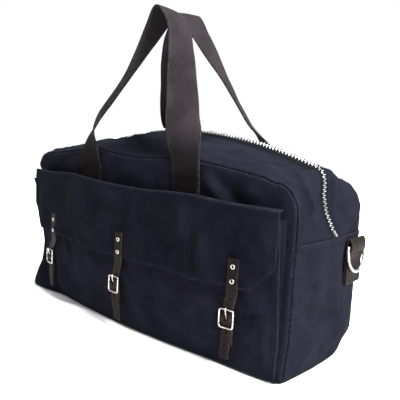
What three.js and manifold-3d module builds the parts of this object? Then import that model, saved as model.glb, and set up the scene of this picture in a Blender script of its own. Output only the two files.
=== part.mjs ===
// A zipped canvas weekender bag with a bellows front pocket, two webbing handles,
// three buckled leather straps and a D-ring at each end.
// Millimetres. +X runs along the bag, -Y is the pocket side, +Z is up.
// The origin is the middle of the underside.
import * as THREE from 'three';
import { mergeVertices } from 'three/addons/utils/BufferGeometryUtils.js';
import Module from 'manifold-3d';

const wasm = await Module();
wasm.setup();

// ---- Driving dimensions ----
const GAP = 0.4; // clearance kept between neighbouring pieces
const CLOTH = 2; // canvas with its turned seam
const BODY = { halfLength: 280, halfDepth: 95, bulge: 27, seamHeight: 185, seamGap: 2, endBulge: 8 };
const BULGE_HEIGHT = 110; // where the front and back stand out furthest
const BULGE_FADE = 0.15; // share of the bulge lost at the top seam
const PANEL = { crown: 288, cornerDrop: 20, cornerRadius: 45 };

const POCKET = { halfWidth: 267, bottom: 6, top: 216, depth: 24 };
const FLAP = { halfWidth: 270, depth: 27, fold: 232, bottom: 126, chamfer: 32, side: 158 };

const ZIP = { halfTape: 14, halfChain: 3.5, tape: 1.2, chain: 3, proud: 1.2, stop: [5, 9, 3.6] };
const SLIDER = { width: 11, length: 16, plate: 1.8, rise: 13, bailHalf: 5.6, bailHeight: 4.2, bailWire: 0.9 };
const PULL = { width: 8, length: 30, thickness: 1.2, crossbar: 2.2, window: 8, pivot: 1.35 };

const WEBBING = { width: 50, thickness: 3, legX: 109, anchorFoot: 196, hingeZ: 262, slack: 2.6 };

const STRAP = { width: 15.5, thickness: 2, top: 163, tail: 21 };
const STRAP_PLACES = { left: -208, middle: 0, right: 208 };
const RIVET = { heights: [151.5, 132], bore: 1.2, barrel: 1.6, flange: 3.5, foot: 2.8, dome: 0.9 };
const SPARE_HOLES = [106, 58, 40];
const SPARE_HOLE_RADIUS = 1.5;
const BUCKLE = { z: 78, width: 24, height: 28, wire: 1.6, bar: 1.2, setBack: 3, corner: 4 };
const BUCKLE_STAND = 9; // frame's plane in front of the pocket
const TONGUE = { radius: 1, slot: 3.2 };
const CHAPE = { width: 14, ply: 1.4, foot: 40 };

const DRING = { y: 55, z: 168, innerHalf: 22.8, wire: 2.2, side: 12, tilt: 7 };
const TAB = { width: 42, ply: 2.8, foot: 104 };

const rad = THREE.MathUtils.degToRad;
const { lerp, smoothstep } = THREE.MathUtils;

// ---- Materials ----
const finish = (color, roughness, metalness = 0) => new THREE.MeshStandardMaterial({ color, roughness, metalness });
const CANVAS = finish(0x232334, 0.95);
const WEB = finish(0x2e2a2c, 0.9);
const TAPE = finish(0x1b1b22, 0.9);
const LEATHER = finish(0x3a2f29, 0.65);
const NICKEL = finish(0xc9c7c4, 0.28, 1);

const bag = new THREE.Group();

function addPiece(name, geometry, material, parent = bag) {
  const mesh = new THREE.Mesh(geometry, material);
  mesh.name = name;
  parent.add(mesh);
  return mesh;
}

// ---- Solids ----
// A sheet of even thickness under surface(u, v). Its outside faces along d/du x d/dv.
function sheet(surface, thickness, columns, rows) {
  const geometry = new THREE.BoxGeometry(1, 1, 1, columns, 1, rows);
  const position = geometry.attributes.position;
  const step = 1e-3;
  for (let i = 0; i < position.count; i++) {
    const u = position.getX(i) + 0.5;
    const v = position.getZ(i) + 0.5;
    const outer = surface(u, v);
    const alongU = surface(Math.min(u + step, 1), v).sub(surface(Math.max(u - step, 0), v));
    const alongV = surface(u, Math.min(v + step, 1)).sub(surface(u, Math.max(v - step, 0)));
    const inward = alongV.cross(alongU).normalize();
    outer.addScaledVector(inward, (position.getY(i) + 0.5) * thickness);
    position.setXYZ(i, outer.x, outer.y, outer.z);
  }
  return geometry;
}

function toSolid(geometry) {
  const bare = geometry.clone();
  bare.deleteAttribute('normal');
  bare.deleteAttribute('uv');
  const welded = mergeVertices(bare, 1e-4);
  const vertProperties = new Float32Array(welded.attributes.position.array);
  const triVerts = new Uint32Array(welded.index.array);
  return new wasm.Manifold(new wasm.Mesh({ numProp: 3, vertProperties, triVerts }));
}

function toGeometry(solid) {
  const { vertProperties, triVerts } = solid.getMesh();
  const geometry = new THREE.BufferGeometry();
  geometry.setAttribute('position', new THREE.BufferAttribute(new Float32Array(vertProperties), 3));
  geometry.setIndex(new THREE.BufferAttribute(new Uint32Array(triVerts), 1));
  geometry.computeVertexNormals();
  return geometry;
}

const join = (first, ...rest) => toGeometry(rest.reduce((all, next) => all.add(toSolid(next)), toSolid(first)));
const cut = (first, ...rest) => toGeometry(rest.reduce((all, next) => all.subtract(toSolid(next)), toSolid(first)));

// A round bar along a smooth curve through the points.
function rod(points, radius, sides, tension = 0.5, steps = 12) {
  const path = new THREE.CatmullRomCurve3(points, false, 'catmullrom', tension);
  const section = new THREE.Shape();
  section.absarc(0, 0, radius, 0, 2 * Math.PI);
  return new THREE.ExtrudeGeometry(section, { extrudePath: path, steps, curveSegments: sides / 2 });
}

const at = (x, y, z) => new THREE.Vector3(x, y, z);

// ---- The bag's own surfaces ----
// How far the front (or back) panel stands from the middle plane.
function panelDepth(x, z) {
  const fullness = 1 - (x / BODY.halfLength) ** 2;
  const height = 1 - BULGE_FADE * ((z - BULGE_HEIGHT) / 175) ** 2;
  return BODY.halfDepth + BODY.bulge * fullness * height;
}

function panelTop(x) {
  const { crown, cornerDrop, cornerRadius } = PANEL;
  const cornerStart = BODY.halfLength - cornerRadius;
  const arch = crown - cornerDrop * Math.min(Math.abs(x) / cornerStart, 1) ** 2;
  const into = Math.max(Math.abs(x) - cornerStart, 0);
  return arch - cornerRadius + Math.sqrt(Math.max(cornerRadius ** 2 - into ** 2, 0));
}

const columnX = (u) => BODY.halfLength * Math.sin(Math.PI * (u - 0.5));

const panelSurface = (u, v) => {
  const x = columnX(u);
  const z = v * panelTop(x);
  return at(x, -panelDepth(x, z), z);
};

// Arch followed by a top seam or by the zip, from the foot of the left end to the right.
function arch({ foot, left, right, corner, crown }) {
  const path = new THREE.Path();
  const footZ = BODY.seamHeight - GAP + BODY.seamGap;
  path.moveTo(-foot, footZ);
  left.forEach(([x, z]) => path.lineTo(-x, z));
  path.quadraticCurveTo(-corner.x, corner.z, -corner.topX, corner.topZ);
  path.quadraticCurveTo(0, 2 * crown - corner.topZ, corner.topX, corner.topZ);
  const [lastX, lastZ] = right[right.length - 1];
  path.quadraticCurveTo(corner.x, corner.z, lastX, lastZ);
  right.slice(0, -1).reverse().forEach(([x, z]) => path.lineTo(x, z));
  path.lineTo(foot, footZ);
  return path;
}

const SEAM_ARCH = arch({
  foot: 280,
  left: [[280, 222]],
  right: [[280, 222]],
  corner: { x: 280, z: 268, topX: 228, topZ: 269 },
  crown: 288,
});
// The zip's right end sags in below the corner; its left end is drawn straight.
const ZIP_ARCH = arch({
  foot: 288,
  left: [[262, 258]],
  right: [[265, 215], [259, 234], [263, 258]],
  corner: { x: 262, z: 279, topX: 244, topZ: 280 },
  crown: 320,
});

const seamAt = (u) => SEAM_ARCH.getPointAt(u);
const zipAt = (u) => ZIP_ARCH.getPointAt(u);

// One half of the zipped top, from the panel's seam in to the zip's tape.
const gussetSurface = (u, v) => {
  const seam = seamAt(u);
  const zip = zipAt(u);
  const startY = -panelDepth(seam.x, seam.y) + CLOTH + GAP;
  const y = lerp(startY, -ZIP.halfTape - GAP, v);
  return at(lerp(seam.x, zip.x, v), y, lerp(seam.y, zip.y, v));
};

const zipSurface = (fromY, toY, lift) => (u, v) => {
  const middle = zipAt(u);
  const ahead = zipAt(Math.min(u + 1e-3, 1)).sub(zipAt(Math.max(u - 1e-3, 0))).normalize();
  return at(middle.x - ahead.y * lift, lerp(fromY, toY, v), middle.y + ahead.x * lift);
};

const endSurface = (u, v) => {
  const reach = panelDepth(BODY.halfLength, 0) - CLOTH - GAP;
  const y = lerp(-reach, reach, u);
  const z = lerp(CLOTH + GAP, BODY.seamHeight - GAP, v);
  const swell = smoothstep(z, 0, BODY.seamHeight) * (1 - (y / reach) ** 2);
  return at(BODY.halfLength + BODY.endBulge * swell, y, z);
};

const bottomSurface = (u, v) => {
  const x = lerp(-BODY.halfLength, BODY.halfLength, u);
  const reach = panelDepth(x, 0) - CLOTH - GAP;
  return at(x, lerp(reach, -reach, v), 0);
};

// A pair of pieces that match when the bag is turned end for end.
function addTurnedPair(names, geometry, material, parent = bag) {
  addPiece(names[0], geometry, material, parent);
  addPiece(names[1], geometry, material, parent).rotation.z = Math.PI;
}

function addShell() {
  addTurnedPair(['front_panel', 'back_panel'], sheet(panelSurface, CLOTH, 20, 6), CANVAS);
  addPiece('bottom_panel', sheet(bottomSurface, CLOTH, 14, 1), CANVAS);
  addTurnedPair(['end_panel_right', 'end_panel_left'], sheet(endSurface, CLOTH, 6, 5), CANVAS);
  const mirrored = (u, v) => gussetSurface(1 - u, v).multiply(at(1, -1, 1));
  addPiece('zip_gusset_front', sheet(gussetSurface, CLOTH, 40, 2), CANVAS);
  addPiece('zip_gusset_back', sheet(mirrored, CLOTH, 40, 2), CANVAS);
}

// ---- Zip ----
function addZip() {
  const inner = ZIP.halfChain + GAP;
  addPiece('zip_tape_front', sheet(zipSurface(-ZIP.halfTape, -inner, 0), ZIP.tape, 36, 1), TAPE);
  addPiece('zip_tape_back', sheet(zipSurface(inner, ZIP.halfTape, 0), ZIP.tape, 36, 1), TAPE);
  const clear = (ZIP.stop[1] + 2 * GAP) / ZIP_ARCH.getLength();
  const teeth = zipSurface(-ZIP.halfChain, ZIP.halfChain, ZIP.proud);
  const chain = (u, v) => teeth(lerp(clear, 1 - clear, u), v);
  addPiece('zip_chain', sheet(chain, ZIP.chain, 44, 1), NICKEL);
  addZipStop('zip_stop_left', 0);
  addZipStop('zip_stop_right', 1);
}

// Group at a distance up an end stretch of the zip: its x points out across the teeth on the
// right end and in on the left, and its z runs up the zip.
function zipGroup(end, distance) {
  const share = distance / ZIP_ARCH.getLength();
  const foot = zipAt(end ? 1 : 0);
  const place = zipAt(end ? 1 - share : share);
  const group = new THREE.Group();
  group.position.set(place.x, 0, place.y);
  group.rotation.y = Math.atan2(place.x - foot.x, place.y - foot.y);
  bag.add(group);
  return group;
}

function addZipStop(name, end) {
  const [width, length, height] = ZIP.stop;
  const outward = end ? 1 : -1;
  const block = new THREE.BoxGeometry(height, width, length);
  block.translate(outward * (ZIP.proud + 0.4 - height / 2), 0, 0);
  addPiece(name, block, NICKEL, zipGroup(end, length / 2 + GAP));
}

// The slider rides outside the teeth on the left end; its bail carries the pull.
function addSlider() {
  const { width, length, plate, rise, bailHalf, bailHeight, bailWire } = SLIDER;
  const group = zipGroup(0, rise + length / 2);
  const roof = -ZIP.proud - GAP;
  const top = roof - plate;
  const lipDepth = 0.9;
  const body = new THREE.BoxGeometry(plate, width, length);
  body.translate(roof - plate / 2, 0, 0);
  const lip = (side) => {
    const block = new THREE.BoxGeometry(plate + lipDepth, plate / 2, length);
    return block.translate(top + (plate + lipDepth) / 2, side * (width / 2 - plate / 4), 0);
  };
  const bail = rod([at(top + 0.5, 0, bailHalf), at(top - bailHeight * 0.8, 0, bailHalf - 1.2),
    at(top - bailHeight, 0, 0), at(top - bailHeight * 0.8, 0, 1.2 - bailHalf), at(top + 0.5, 0, -bailHalf)],
    bailWire, 6);
  addPiece('zip_slider', join(body, lip(1), lip(-1), bail), NICKEL, group);
  return { group, top };
}

// A flat pull that hangs from the bail by the window at its head.
function addPull({ group, top }) {
  const { width, length, thickness, crossbar, window, pivot } = PULL;
  const endRadius = width / 2 - 1;
  const outline = new THREE.Shape();
  outline.moveTo(-width / 2, crossbar / 2);
  outline.lineTo(-endRadius, endRadius - length);
  outline.absarc(0, endRadius - length, endRadius, Math.PI, 2 * Math.PI);
  outline.lineTo(width / 2, crossbar / 2);
  const opening = new THREE.Path();
  const side = SLIDER.bailWire + 0.7;
  opening.moveTo(-side, -crossbar / 2);
  opening.lineTo(-side, -window);
  opening.lineTo(side, -window);
  opening.lineTo(side, -crossbar / 2);
  outline.holes.push(opening);
  const blade = new THREE.ExtrudeGeometry(outline, { depth: thickness, bevelEnabled: false, curveSegments: 5 });
  blade.translate(0, 0, -thickness / 2);
  blade.rotateX(Math.PI / 2);
  blade.rotateZ(Math.PI / 2);
  addPiece('zip_pull', blade, NICKEL, group).position.x = top - pivot;
}

// ---- Front pocket ----
function pocketFace(x, z) {
  const up = THREE.MathUtils.clamp((z - POCKET.bottom) / (POCKET.top - POCKET.bottom), 0, 1);
  const full = 1 - (1 - up) ** 3;
  const edge = (x / POCKET.halfWidth) ** 4;
  return lerp(CLOTH + GAP, POCKET.depth, lerp(full, up, edge));
}

const pocketSurface = (u, v) => {
  const x = lerp(-POCKET.halfWidth, POCKET.halfWidth, u);
  const z = lerp(POCKET.bottom, POCKET.top, v);
  return at(x, -panelDepth(x, z) - pocketFace(x, z), z);
};

// The folding side of the pocket, from the front panel out to the pocket's face.
const pocketSideSurface = (u, v) => {
  const x = POCKET.halfWidth;
  const z = lerp(POCKET.bottom + 30, POCKET.top - 2, v);
  const near = panelDepth(x - CLOTH, z) + GAP;
  const far = panelDepth(x, z) + pocketFace(x, z) - CLOTH - GAP;
  return at(x, -lerp(far, near, u), z);
};

// The strip that runs out from the front panel, over the webbing, to the flap's fold.
const yokeSurface = (u, v) => {
  const x = lerp(-FLAP.halfWidth, FLAP.halfWidth, u);
  const near = panelDepth(x, FLAP.fold) + WEBBING.thickness + 2 * GAP;
  const far = panelDepth(x, FLAP.fold) + FLAP.depth - CLOTH - GAP;
  return at(x, -lerp(far, near, v), FLAP.fold);
};

function flapBottom(x) {
  const into = Math.max(Math.abs(x) - (FLAP.halfWidth - FLAP.chamfer), 0);
  return FLAP.bottom + (FLAP.side - FLAP.bottom) * (into / FLAP.chamfer);
}

const flapSurface = (u, v) => {
  const x = FLAP.halfWidth * Math.sin(Math.PI * (u - 0.5));
  const z = lerp(flapBottom(x), FLAP.fold, v);
  return at(x, -panelDepth(x, z) - FLAP.depth, z);
};

function addPocket() {
  addPiece('pocket_panel', sheet(pocketSurface, CLOTH, 16, 8), CANVAS);
  const mirrored = (u, v) => pocketSideSurface(1 - u, v).multiply(at(-1, 1, 1));
  addPiece('pocket_gusset_right', sheet(pocketSideSurface, CLOTH, 1, 6), CANVAS);
  addPiece('pocket_gusset_left', sheet(mirrored, CLOTH, 1, 6), CANVAS);
  addPiece('pocket_flap_yoke', sheet(yokeSurface, CLOTH, 16, 1), CANVAS);
  const holes = Object.values(STRAP_PLACES).flatMap((x) => {
    const group = strapGroup(x);
    group.updateMatrix();
    return RIVET.heights.map((z) => drill(z, RIVET.barrel + 2 * GAP).applyMatrix4(group.matrix));
  });
  addPiece('pocket_flap', cut(sheet(flapSurface, CLOTH, 20, 4), ...holes), CANVAS);
}

// ---- Straps, rivets and buckles ----
// Each strap has a group of its own on the flap's outer face, turned to face as the flap does.
function strapGroup(x) {
  const group = new THREE.Group();
  const slope = (panelDepth(x - 1, BUCKLE.z) - panelDepth(x + 1, BUCKLE.z)) / 2;
  group.position.set(x, -panelDepth(x, BUCKLE.z) - FLAP.depth, 0);
  group.rotation.z = Math.atan(slope);
  return group;
}

// A cutter along Y through a strap's middle line.
function drill(z, radius) {
  return new THREE.CylinderGeometry(radius, radius, 40, 10).translate(0, 0, z);
}

// Heights are the bag's; y is measured inwards from the strap group's origin.
const buckleInset = (x) => FLAP.depth - pocketFace(x, BUCKLE.z) - BUCKLE_STAND;
const flapInset = (x, z) => panelDepth(x, BUCKLE.z) - panelDepth(x, z);

// The strap's outer face: down the flap, behind the top rail, over the bar, behind the
// bottom rail and down to its tail.
function strapProfile(x) {
  const half = STRAP.thickness / 2;
  const onFlap = (z) => at(0, flapInset(x, z) - GAP - STRAP.thickness, z);
  const rail = BUCKLE.height / 2 - BUCKLE.wire;
  const y = buckleInset(x) - half;
  const behind = BUCKLE.wire + half + GAP;
  const over = BUCKLE.setBack - (BUCKLE.bar + 0.3 + CHAPE.ply + GAP + half);
  return new THREE.CatmullRomCurve3([
    at(0, y + behind + 1.2, STRAP.tail),
    at(0, y + behind + 1, BUCKLE.z - rail - 20),
    at(0, y + behind + 0.3, BUCKLE.z - rail),
    at(0, y + over, BUCKLE.z),
    at(0, y + behind, BUCKLE.z + rail),
    onFlap(FLAP.bottom - 8).add(at(0, 1.5, 0)),
    onFlap(FLAP.bottom),
    onFlap(RIVET.heights[0]),
    onFlap(STRAP.top),
  ], false, 'catmullrom', 0.3);
}

function strapGeometry(x) {
  const profile = strapProfile(x);
  const across = (u, v) => {
    const point = profile.getPoint(v);
    const taper = lerp(0.84, 1, smoothstep(point.z, STRAP.tail, BUCKLE.z));
    point.x += (u - 0.5) * STRAP.width * taper;
    return point;
  };
  const slot = new THREE.BoxGeometry(2.6, 40, 10.5).translate(0, 0, BUCKLE.z + 3.2);
  const rivetHoles = RIVET.heights.map((z) => drill(z, RIVET.barrel + GAP));
  const spareHoles = SPARE_HOLES.map((z) => drill(z, SPARE_HOLE_RADIUS));
  return cut(sheet(across, STRAP.thickness, 1, 28), slot, ...rivetHoles, ...spareHoles);
}

// A tubular rivet: a rolled head outside, a barrel through strap and flap, a rolled foot inside.
function rivetGeometry(grip) {
  const { bore, barrel, flange, foot, dome } = RIVET;
  const profile = [
    [bore, GAP + dome], [flange - 0.8, GAP + dome], [flange, GAP + 0.3], [flange, GAP], [barrel, GAP],
    [barrel, -grip - GAP], [foot, -grip - GAP], [foot, -grip - GAP - 0.5], [bore, -grip - GAP - 0.6],
    [bore, GAP + dome],
  ].map(([r, h]) => new THREE.Vector2(r, h)).reverse();
  return new THREE.LatheGeometry(profile, 10).rotateX(Math.PI);
}

function addRivets(side, x, group) {
  const grip = STRAP.thickness + GAP + CLOTH;
  RIVET.heights.forEach((z, i) => {
    const rivet = addPiece(`rivet_${side}_${i ? 'lower' : 'upper'}`, rivetGeometry(grip), NICKEL, group);
    rivet.position.set(0, flapInset(x, z) - GAP - STRAP.thickness, z);
    rivet.rotation.x = Math.atan(flapInset(x, z - 0.5) - flapInset(x, z + 0.5));
  });
}

// A rounded frame with its centre bar bent back so that the strap lies flat over it.
function buckleGeometry() {
  const { width, height, wire, bar, setBack, corner } = BUCKLE;
  const halfWidth = width / 2 - wire;
  const halfHeight = height / 2 - wire;
  const outline = roundedRectangle(halfWidth + wire, halfHeight + wire, corner + wire);
  outline.holes.push(roundedRectangle(halfWidth - wire, halfHeight - wire, corner - wire));
  const frame = new THREE.ExtrudeGeometry(outline, {
    depth: wire, bevelEnabled: true, bevelThickness: wire / 2, bevelSize: wire / 2,
    bevelOffset: -wire / 2, bevelSegments: 1, curveSegments: 3,
  });
  frame.translate(0, 0, -wire / 2);
  frame.rotateX(Math.PI / 2);
  const bent = halfWidth - 1.8;
  const ends = [at(-halfWidth, 0, 0), at(-bent, setBack, 0), at(bent, setBack, 0), at(halfWidth, 0, 0)];
  const crossBar = rod(ends, bar, 8, 0);
  return join(frame, crossBar);
}

function roundedRectangle(halfWidth, halfHeight, corner) {
  const shape = new THREE.Shape();
  shape.absarc(halfWidth - corner, halfHeight - corner, corner, 0, rad(90));
  shape.absarc(corner - halfWidth, halfHeight - corner, corner, rad(90), rad(180));
  shape.absarc(corner - halfWidth, corner - halfHeight, corner, rad(180), rad(270));
  shape.absarc(halfWidth - corner, corner - halfHeight, corner, rad(270), rad(360));
  return shape;
}

// The tongue turns on the bar, comes up through the strap's slot and rests on the top rail.
function tongueGeometry() {
  const { wire, bar, setBack, height } = BUCKLE;
  const rail = height / 2 - wire;
  const tip = -(wire + GAP + TONGUE.radius);
  const shaft = rod([at(0, setBack - 1.2, 2.4), at(0, setBack - 2.9, rail * 0.5), at(0, tip, rail * 0.93),
    at(0, tip, rail + 1.9)], TONGUE.radius, 8);
  const eye = ringGeometry(bar + 0.3, bar + 0.3 + TONGUE.radius * 1.3, 2.4);
  eye.translate(0, setBack, 0);
  return join(shaft, eye);
}

// A flat ring round the X axis.
function ringGeometry(inner, outer, width) {
  const profile = [[inner, -width / 2], [outer, -width / 2], [outer, width / 2], [inner, width / 2],
    [inner, -width / 2]].map(([r, h]) => new THREE.Vector2(r, h));
  return new THREE.LatheGeometry(profile, 14).rotateZ(Math.PI / 2);
}

// The short doubled strap that holds a buckle's bar, slotted for the tongue.
// Its section lies in the YZ plane, with y = 0 in the plane of the frame.
function chapeGeometry() {
  const { setBack, bar, wire, height, z } = BUCKLE;
  const hole = bar + 0.3;
  const outer = hole + CHAPE.ply;
  const rail = height / 2 - wire;
  const front = 2 * wire + STRAP.thickness + 2.2 * GAP;
  const back = front + 2 * CHAPE.ply;
  const section = new THREE.Shape();
  section.absarc(setBack, 0, outer, rad(0), rad(215));
  section.lineTo(front, -rail + 2.2);
  section.lineTo(front, CHAPE.foot - z);
  section.lineTo(back, CHAPE.foot - z);
  section.lineTo(back, -rail + 2);
  const eye = new THREE.Path();
  eye.absarc(setBack, 0, hole, 0, 2 * Math.PI);
  section.holes.push(eye);
  const strip = new THREE.ExtrudeGeometry(section, { depth: CHAPE.width, bevelEnabled: false, curveSegments: 8 });
  strip.translate(0, 0, -CHAPE.width / 2);
  strip.rotateY(Math.PI / 2);
  strip.rotateX(Math.PI / 2);
  const slot = new THREE.BoxGeometry(TONGUE.slot, 14, 9.4);
  slot.translate(0, setBack, 0.6);
  return cut(strip, slot);
}

function addStraps() {
  for (const [side, x] of Object.entries(STRAP_PLACES)) {
    const group = strapGroup(x);
    bag.add(group);
    addPiece(`strap_${side}`, strapGeometry(x), LEATHER, group);
    addRivets(side, x, group);
    const buckle = new THREE.Group();
    buckle.position.set(0, buckleInset(x), BUCKLE.z);
    group.add(buckle);
    addPiece(`buckle_frame_${side}`, buckleGeometry(), NICKEL, buckle);
    addPiece(`buckle_tongue_${side}`, tongueGeometry(), NICKEL, buckle);
    addPiece(`buckle_chape_${side}`, chapeGeometry(), LEATHER, buckle);
  }
}

// ---- Handles ----
// Each handle is one length of webbing that twists a quarter turn between its feet and its top.
// Half of its middle line is given, as seen from the handle's own side of the bag.
const FRONT_HANDLE = {
  line: [[109, -119.6, 264], [109, -119.4, 290], [105, -111, 323], [92, -104, 350], [68, -94, 396],
    [42, -82, 445], [18, -70, 490], [0, -64, 510]],
  twist: [0, 115],
  sway: 12,
};
const BACK_HANDLE = {
  line: [[109, -119.6, 264], [109, -119.6, 286], [107, -109, 303], [104, -77, 316], [99, -50, 335],
    [89, -30, 366], [72, -12, 414], [47, 2, 474], [24, 7, 502], [0, 8, 511]],
  twist: [30, 240],
  sway: 0,
};

function handleGeometry({ line, twist, sway }) {
  const [, , footZ] = line[0];
  const topZ = line[line.length - 1][2];
  const swayed = (side) => ([x, y, z]) => at(side * x + sway * ((z - footZ) / (topZ - footZ)) ** 2, y, z);
  const left = line.map(swayed(-1));
  const right = line.slice(0, -1).reverse().map(swayed(1));
  const path = new THREE.CatmullRomCurve3([...left, ...right], false, 'centripetal');
  path.arcLengthDivisions = 400;
  const length = path.getLength();
  const surface = (u, v) => {
    const ahead = path.getTangentAt(u);
    const back = at(0, 1, 0).addScaledVector(ahead, -ahead.y).normalize();
    const outer = ahead.clone().cross(back);
    const fromFoot = Math.min(u, 1 - u) * length;
    const turn = smoothstep(fromFoot, twist[0], twist[1]) * Math.PI / 2;
    const across = outer.multiplyScalar(Math.cos(turn)).addScaledVector(back, Math.sin(turn));
    const middle = path.getPointAt(u);
    const facing = ahead.cross(across).normalize();
    return middle.addScaledVector(across, (v - 0.5) * WEBBING.width).addScaledVector(facing, WEBBING.thickness / 2);
  };
  return sheet(surface, WEBBING.thickness, 48, 1);
}

// The foot of a leg, sewn flat to the panel.
const anchorSurface = (middleX) => (u, v) => {
  const x = middleX + (u - 0.5) * WEBBING.width;
  const z = lerp(WEBBING.anchorFoot, WEBBING.hingeZ - WEBBING.slack, v);
  return at(x, -panelDepth(x, z) - GAP - WEBBING.thickness, z);
};

function addHandles() {
  addPiece('handle_front', handleGeometry(FRONT_HANDLE), WEB);
  addPiece('handle_back', handleGeometry(BACK_HANDLE), WEB).rotation.z = Math.PI;
  for (const [side, sign] of [['left', -1], ['right', 1]]) {
    const anchor = sheet(anchorSurface(sign * WEBBING.legX), WEBBING.thickness, 3, 3);
    addPiece(`handle_anchor_front_${side}`, anchor, WEB);
    const other = side === 'left' ? 'right' : 'left';
    addPiece(`handle_anchor_back_${other}`, anchor, WEB).rotation.z = Math.PI;
  }
}

// ---- D-rings and their leather tabs ----
const dringX = BODY.halfLength + BODY.endBulge + GAP + DRING.wire + 0.3 + TAB.ply;

// Straight bar along Y with the bow hanging from it.
function dringGeometry() {
  const { innerHalf, wire, side, tilt } = DRING;
  const half = innerHalf + wire;
  const bow = new THREE.EllipseCurve(0, -side, half, half - 1, Math.PI, 2 * Math.PI);
  const points = [at(0, -half, 0), ...bow.getPoints(14).map((p) => at(0, p.x, p.y)), at(0, half, 0)];
  const bar = new THREE.CylinderGeometry(wire, wire, 2 * half + 2 * wire, 12);
  const ring = join(bar, rod(points, wire, 8, 0.5, 24));
  return ring.rotateY(-rad(tilt));
}

// A strip folded over the bar, with both plies hanging down the end panel.
function tabGeometry() {
  const hole = DRING.wire + 0.3;
  const outer = hole + TAB.ply;
  const section = new THREE.Shape();
  section.absarc(0, 0, outer, 0, rad(180));
  section.lineTo(-outer, TAB.foot - DRING.z);
  section.lineTo(-outer + 2 * TAB.ply, TAB.foot - DRING.z);
  section.lineTo(-outer + 2 * TAB.ply, -16);
  section.quadraticCurveTo(outer - 1.4, -10, outer, 0);
  const eye = new THREE.Path();
  eye.absarc(0, 0, hole, 0, 2 * Math.PI);
  section.holes.push(eye);
  const strip = new THREE.ExtrudeGeometry(section, { depth: TAB.width, bevelEnabled: false, curveSegments: 10 });
  strip.translate(0, 0, -TAB.width / 2);
  return strip.rotateX(Math.PI / 2);
}

function addDrings() {
  for (const [side, sign] of [['right', 1], ['left', -1]]) {
    const holder = new THREE.Group();
    holder.position.set(sign * dringX, DRING.y, DRING.z);
    holder.rotation.z = sign > 0 ? 0 : Math.PI;
    bag.add(holder);
    addPiece(`dring_${side}`, dringGeometry(), NICKEL, holder);
    addPiece(`dring_tab_${side}`, tabGeometry(), LEATHER, holder);
  }
}

addShell();
addZip();
addPull(addSlider());
addPocket();
addStraps();
addHandles();
addDrings();

export default bag;
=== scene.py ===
"""A canvas weekender bag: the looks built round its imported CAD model. Metres, +Z up."""
import math

import bmesh
import bpy
import numpy as np
from mathutils import Matrix, Vector, noise


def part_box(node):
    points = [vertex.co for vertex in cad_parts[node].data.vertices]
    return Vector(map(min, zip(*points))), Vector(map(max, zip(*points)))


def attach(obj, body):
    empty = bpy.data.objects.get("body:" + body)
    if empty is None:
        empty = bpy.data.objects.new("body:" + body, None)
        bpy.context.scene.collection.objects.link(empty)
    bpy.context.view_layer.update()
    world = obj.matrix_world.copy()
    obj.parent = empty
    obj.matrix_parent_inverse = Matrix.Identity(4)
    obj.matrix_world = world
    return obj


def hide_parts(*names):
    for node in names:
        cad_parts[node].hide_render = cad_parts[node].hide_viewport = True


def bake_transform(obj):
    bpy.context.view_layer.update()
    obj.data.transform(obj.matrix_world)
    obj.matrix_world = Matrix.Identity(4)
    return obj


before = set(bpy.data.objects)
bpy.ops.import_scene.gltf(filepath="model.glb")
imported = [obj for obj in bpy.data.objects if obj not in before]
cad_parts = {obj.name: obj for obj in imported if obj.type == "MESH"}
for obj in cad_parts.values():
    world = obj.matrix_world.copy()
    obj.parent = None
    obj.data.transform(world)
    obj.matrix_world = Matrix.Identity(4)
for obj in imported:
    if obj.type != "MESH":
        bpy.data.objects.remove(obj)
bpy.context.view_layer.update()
MM = 0.001

# ---- Camera: the first thing made ----
CAMERA_PLACE = (0.5898, -0.6457, 0.3229)
CAMERA_YAW, CAMERA_PITCH, CAMERA_ROLL = (math.radians(a) for a in (40.61, 7.84, 3.0))
CAMERA_LENS = 45.5


def make_camera():
    ahead = Vector((-math.sin(CAMERA_YAW) * math.cos(CAMERA_PITCH),
                    math.cos(CAMERA_YAW) * math.cos(CAMERA_PITCH), -math.sin(CAMERA_PITCH)))
    level = Vector((math.cos(CAMERA_YAW), math.sin(CAMERA_YAW), 0))
    above = level.cross(ahead)
    right = level * math.cos(CAMERA_ROLL) + above * math.sin(CAMERA_ROLL)
    up = above * math.cos(CAMERA_ROLL) - level * math.sin(CAMERA_ROLL)
    data = bpy.data.cameras.new("camera")
    data.lens = CAMERA_LENS
    data.sensor_width = 36
    camera = bpy.data.objects.new("camera", data)
    bpy.context.scene.collection.objects.link(camera)
    camera.matrix_world = Matrix((right, up, -ahead)).transposed().to_4x4()
    camera.location = CAMERA_PLACE
    bpy.context.scene.camera = camera


make_camera()

# ---- Sizes, read from the frame ----
HALF_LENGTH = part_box("bottom_panel")[1].x
HALF_DEPTH = 95 * MM
BULGE = -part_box("front_panel")[0].y - HALF_DEPTH
BULGE_HEIGHT, BULGE_FADE, BULGE_REACH = 110 * MM, 0.15, 175 * MM
SEAM_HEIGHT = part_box("end_panel_right")[1].z + 0.4 * MM
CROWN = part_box("front_panel")[1].z
CORNER_DROP, CORNER_RADIUS = 20 * MM, 45 * MM
POCKET_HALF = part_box("pocket_panel")[1].x
POCKET_BOTTOM, POCKET_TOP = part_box("pocket_panel")[0].z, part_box("pocket_panel")[1].z
POCKET_DEPTH = 24 * MM
FLAP_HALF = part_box("pocket_flap")[1].x
FLAP_BOTTOM, FLAP_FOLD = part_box("pocket_flap")[0].z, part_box("pocket_flap")[1].z
FLAP_DEPTH, FLAP_CHAMFER, FLAP_SIDE = 27 * MM, 32 * MM, 158 * MM
CANVAS_THICK = 1.6 * MM
SEAM_ROLL, SEAM_TUCK = 6 * MM, 4.4 * MM  # how wide a turned seam rolls in, and how far
BASE_ROLL, BASE_TUCK = 11 * MM, SEAM_TUCK * 1.4  # the same along the bottom
PANEL_STEP = 3.6 * MM
PUCKER = 0.5 * MM
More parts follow.
